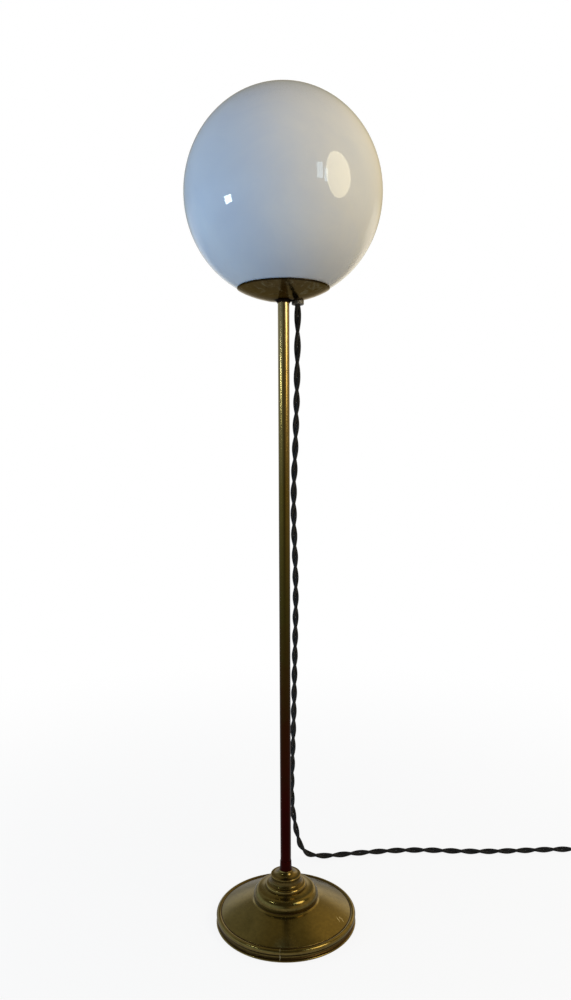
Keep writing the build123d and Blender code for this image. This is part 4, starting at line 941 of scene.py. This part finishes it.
coil_steps = round(COIL_TURNS * POINTS_PER_TURN)
coil_route = [(0.565, 0.184, 0.0070), (0.5742, 0.184, 0.0070), (0.592, 0.184, 0.0062),
              (0.618, 0.1848, 0.0058)]
coil_route += [coil_place(COIL_TURNS * (step + 0.5) / coil_steps) for step in range(coil_steps)]
coil_route += [(0.698, 0.118, 0.0156), (0.698, 0.104, 0.0150), (0.698, 0.086, 0.0092),
               (0.698, 0.072, 0.0070), (0.698, 0.066, 0.00685), (0.698, 0.0568, 0.00685)]
coiled_flex, coil_line = twisted_pair("coiled_flex", coil_route, 12)
dress(coiled_flex, flex_braid, "flex_braid", "flex_coil")

tie_plastic = finished("tie plastic", moulding, relief=0.00006, Plastic=screen(30, 30, 30),
                       Bloom=screen(64, 62, 60), Bloom_Amount=0.4, Shine=0.45)
coat_nodes(tie_plastic, "coil_tie")


# -------- plug
# Flat two-pin plug moulded on the flex, with a rubber sleeve and turned brass pins.
# Matt black plastic; it lies on the floor beside the coil.
plug_rubber = finished("plug rubber", moulding, relief=0.00008, Plastic=screen(32, 31, 30),
                       Bloom=screen(72, 70, 66), Bloom_Amount=0.5, Shine=0.55)
coat_nodes(plug_rubber, "plug_sleeve")
plug_plastic = finished("plug plastic", moulding, relief=0.00006, Plastic=screen(38, 36, 35),
                        Bloom=screen(76, 72, 68), Bloom_Amount=0.4, Shine=0.38)
coat_nodes(plug_plastic, "plug_body")
pin_brass = finished("pin brass", old_brass, {"Metallic": 1.0}, relief=0.00002, Metal=screen(222, 200, 140),
                     Patina=screen(184, 158, 98), Grime=screen(100, 80, 50), Patina_Amount=0.3,
                     Mottle_Scale=200.0, Speck_Scale=900.0, Speck_Amount=0.3, Rings=0.1, Shine=0.18)
coat_nodes(pin_brass, "plug_pins")


# -------- floor
# Plain white studio floor that keeps the lamp's shadow and runs out into the white background. It glows
# by itself, a little less round the lamp, and the brass mirrors it dimmer than the camera sees it.
floor_mesh = bpy.data.meshes.new("floor")
floor_mesh.from_pydata([(-9, -9, 0), (9, -9, 0), (9, 9, 0), (-9, 9, 0)], [], [(0, 1, 2, 3)])
floor = new_object("floor", floor_mesh)
paper, tree, shader = new_material("white paper floor", Roughness=0.9, Specular_IOR_Level=0.1)
far = add_range(tree, from_axis(tree, object_place(tree)), 0.15, 1.5, 0.88, 1.0)
white = add_node(tree, "ShaderNodeEmission", {"Color": (1, 1, 1, 1), "Strength": 1.0})
rays = add_node(tree, "ShaderNodeLightPath").outputs
bounced = add_math(tree, "MAXIMUM", rays["Is Diffuse Ray"], rays["Is Glossy Ray"])
tree.links.new(add_mix(tree, bounced, (0.92, 0.92, 0.92, 1), (0.42, 0.41, 0.38, 1)),
               shader.inputs["Base Color"])
seen = add_math(tree, "MAXIMUM", rays["Is Camera Ray"], rays["Is Transmission Ray"])
seen = add_math(tree, "MAXIMUM", seen, add_math(tree, "MULTIPLY", rays["Is Glossy Ray"], 0.3))
share = add_math(tree, "MULTIPLY", seen, far)
mixed = add_node(tree, "ShaderNodeMixShader", {0: share, 1: shader.outputs[0], 2: white.outputs[0]})
tree.links.new(mixed.outputs[0], tree.nodes["Material Output"].inputs["Surface"])
floor.data.materials.append(paper)


# -------- studio light
# A tall warm window and two cool panes to the right, a small cool window to the left, weak light from
# above and from the left, and a soft sky that is cool on the left and warm on the right. The background
# is white.
def window(name, centre, target, size, watts, colour, shape="RECTANGLE"):
    """Area light that faces the lamp."""
    light = bpy.data.lights.new(name, "AREA")
    light.shape = shape
    light.size, light.size_y = size
    light.energy = watts
    light.color = colour
    made = new_object(name, light)
    made.location = centre
    made.rotation_euler = (Vector(target) - Vector(centre)).to_track_quat("-Z", "Y").to_euler()
    made.visible_camera = False
    return made


window("warm_window", (1.03, -0.59, 1.19), (0.06, -0.1, 1.0), size=(0.65, 0.84), watts=7.6,
       colour=(1.0, 0.87, 0.56), shape="ELLIPSE")
window("cool_pane_left", (0.735, -0.93, 1.20), (0.05, -0.1, 1.0), size=(0.13, 0.3), watts=0.62,
       colour=(0.66, 0.86, 1.0))
window("cool_pane_right", (0.83, -0.83, 1.13), (0.05, -0.1, 1.0), size=(0.08, 0.24), watts=0.3,
       colour=(0.6, 0.84, 1.0))
small_window = window("small_window", (-0.71, -0.40, 0.836), (-0.06, -0.1, 0.95), size=(0.12, 0.09),
                      watts=0.95, colour=(0.76, 0.95, 1.0))
small_window.visible_diffuse = False
overhead = window("overhead", (-0.5, -1.2, 2.6), (0.0, 0.0, 0.3), size=(1.2, 0.9), watts=1.6,
                  colour=(1.0, 0.97, 0.92))
overhead.visible_glossy = False
cool_fill = window("cool_fill", (-1.7, -0.8, 0.3), (0.0, 0.0, 0.95), size=(1.2, 0.9), watts=21.0,
                   colour=(0.36, 0.64, 1.0))
cool_fill.visible_glossy = False

# Flats round the set that only reflections see: dim behind the camera and overhead, a cool wall on the
# left, a warm one on the right and a bright backdrop. They give the brass and the glass something to mirror.
FLATS_RADIUS = 3.2
FLATS_HEIGHT = 3.6
flats_mesh = bpy.data.meshes.new("studio_flats")
shape = bmesh.new()
bmesh.ops.create_cone(shape, cap_ends=True, segments=64, radius1=FLATS_RADIUS, radius2=FLATS_RADIUS,
                      depth=FLATS_HEIGHT)
bmesh.ops.translate(shape, verts=shape.verts, vec=(0.0, 0.0, FLATS_HEIGHT / 2 - 0.1))
shape.faces.ensure_lookup_table()
bmesh.ops.delete(shape, geom=[face for face in shape.faces if face.normal.z < -0.9], context="FACES_ONLY")
shape.to_mesh(flats_mesh)
shape.free()
flats = new_object("studio_flats", flats_mesh)
for ray in ("camera", "diffuse", "transmission", "volume_scatter", "shadow"):
    setattr(flats, "visible_" + ray, False)
cloth = bpy.data.materials.new("studio flats")
cloth.use_nodes = True
tree = cloth.node_tree
tree.nodes.clear()
aside, back, up = add_node(tree, "ShaderNodeSeparateXYZ", {0: object_place(tree)}).outputs
front = add_node(tree, "ShaderNodeValToRGB", {0: add_range(tree, aside, -3.0, 3.0)})
front.color_ramp.elements[0].color = (0.55, 0.68, 0.75, 1.0)
front.color_ramp.elements[1].color = (0.62, 0.51, 0.31, 1.0)
front.color_ramp.elements.new(0.5).color = (0.07, 0.065, 0.035, 1.0)
wall = add_mix(tree, add_range(tree, aside, -2.6, 2.6), (0.70, 0.76, 0.80, 1.0), (1.3, 1.15, 0.88, 1.0))
wall = add_mix(tree, add_range(tree, up, 0.8, 0.2, 0.0, 0.62), wall, (0.10, 0.10, 0.08, 1.0))
tone = add_mix(tree, add_range(tree, back, 1.8, 1.95), front.outputs[0], wall)
above = add_mix(tree, add_range(tree, aside, -0.4, -1.8), (0.24, 0.21, 0.11, 1.0), (0.34, 0.35, 0.30, 1.0))
above = add_mix(tree, add_range(tree, aside, 0.3, 2.0), above, (0.74, 0.58, 0.28, 1.0))
above = add_mix(tree, add_range(tree, back, 1.4, -0.2), above, (0.17, 0.15, 0.07, 1.0))
above = add_mix(tree, add_range(tree, back, -0.3, -1.2), above, (0.07, 0.06, 0.03, 1.0))
tone = add_mix(tree, add_range(tree, up, 1.1, 1.8), tone, above)
glow = add_node(tree, "ShaderNodeEmission", {"Color": tone})
add_node(tree, "ShaderNodeOutputMaterial", {"Surface": glow.outputs[0]})
flats_mesh.materials.append(cloth)

world = bpy.data.worlds.new("studio")
bpy.context.scene.world = world
world.use_nodes = True
tree = world.node_tree
tree.nodes.clear()
way = add_node(tree, "ShaderNodeTexCoord").outputs["Generated"]
sideways, _, upwards = add_node(tree, "ShaderNodeSeparateXYZ", {0: way}).outputs
across = add_node(tree, "ShaderNodeMapRange", {"Value": sideways, "From Min": -1.0, "From Max": 1.0})
sky = add_node(tree, "ShaderNodeValToRGB", {0: across.outputs[0]})
sky.color_ramp.elements[0].color = (0.40, 0.53, 0.70, 1.0)
sky.color_ramp.elements[1].color = (0.48, 0.41, 0.31, 1.0)
sky.color_ramp.elements.new(0.5).color = (0.40, 0.41, 0.45, 1.0)
dimmed = add_range(tree, upwards, 0.1, 0.9, 1.04, 0.74)
soft = add_node(tree, "ShaderNodeBackground", {"Color": sky.outputs[0], "Strength": dimmed})
white = add_node(tree, "ShaderNodeBackground", {"Color": (1, 1, 1, 1), "Strength": 1.0})
rays = add_node(tree, "ShaderNodeLightPath").outputs
seen = add_math(tree, "MAXIMUM", rays["Is Camera Ray"], rays["Is Transmission Ray"])
seen = add_math(tree, "MAXIMUM", seen, rays["Is Glossy Ray"])
mixed = add_node(tree, "ShaderNodeMixShader", {0: seen, 1: soft.outputs[0], 2: white.outputs[0]})
add_node(tree, "ShaderNodeOutputWorld", {"Surface": mixed.outputs[0]})


# -------- camera
# Short lens in front of the lamp, a little above the middle of the tube, tilted down. Its place, tilt and
# lens were fitted to the outlines of the globe, the dish, the tube and the foot.
CAMERA_PLACE = (0.0, -1.0405, 0.662)
CAMERA_TILT = math.radians(81.67)
CAMERA_ROLL = math.radians(-0.23)
camera_data = bpy.data.cameras.new("camera")
camera_data.lens = 28.03
camera_data.sensor_width = 36.0
camera_data.sensor_fit = "AUTO"
camera_data.shift_x = 0.0009
camera_data.shift_y = 0.0698
camera_data.clip_start = 0.02
camera = new_object("camera", camera_data)
camera.matrix_world = (Matrix.Translation(CAMERA_PLACE) @ Matrix.Rotation(CAMERA_TILT, 4, "X")
                       @ Matrix.Rotation(CAMERA_ROLL, 4, "Z"))
bpy.context.scene.camera = camera
bpy.context.scene.view_settings.view_transform = "Standard"
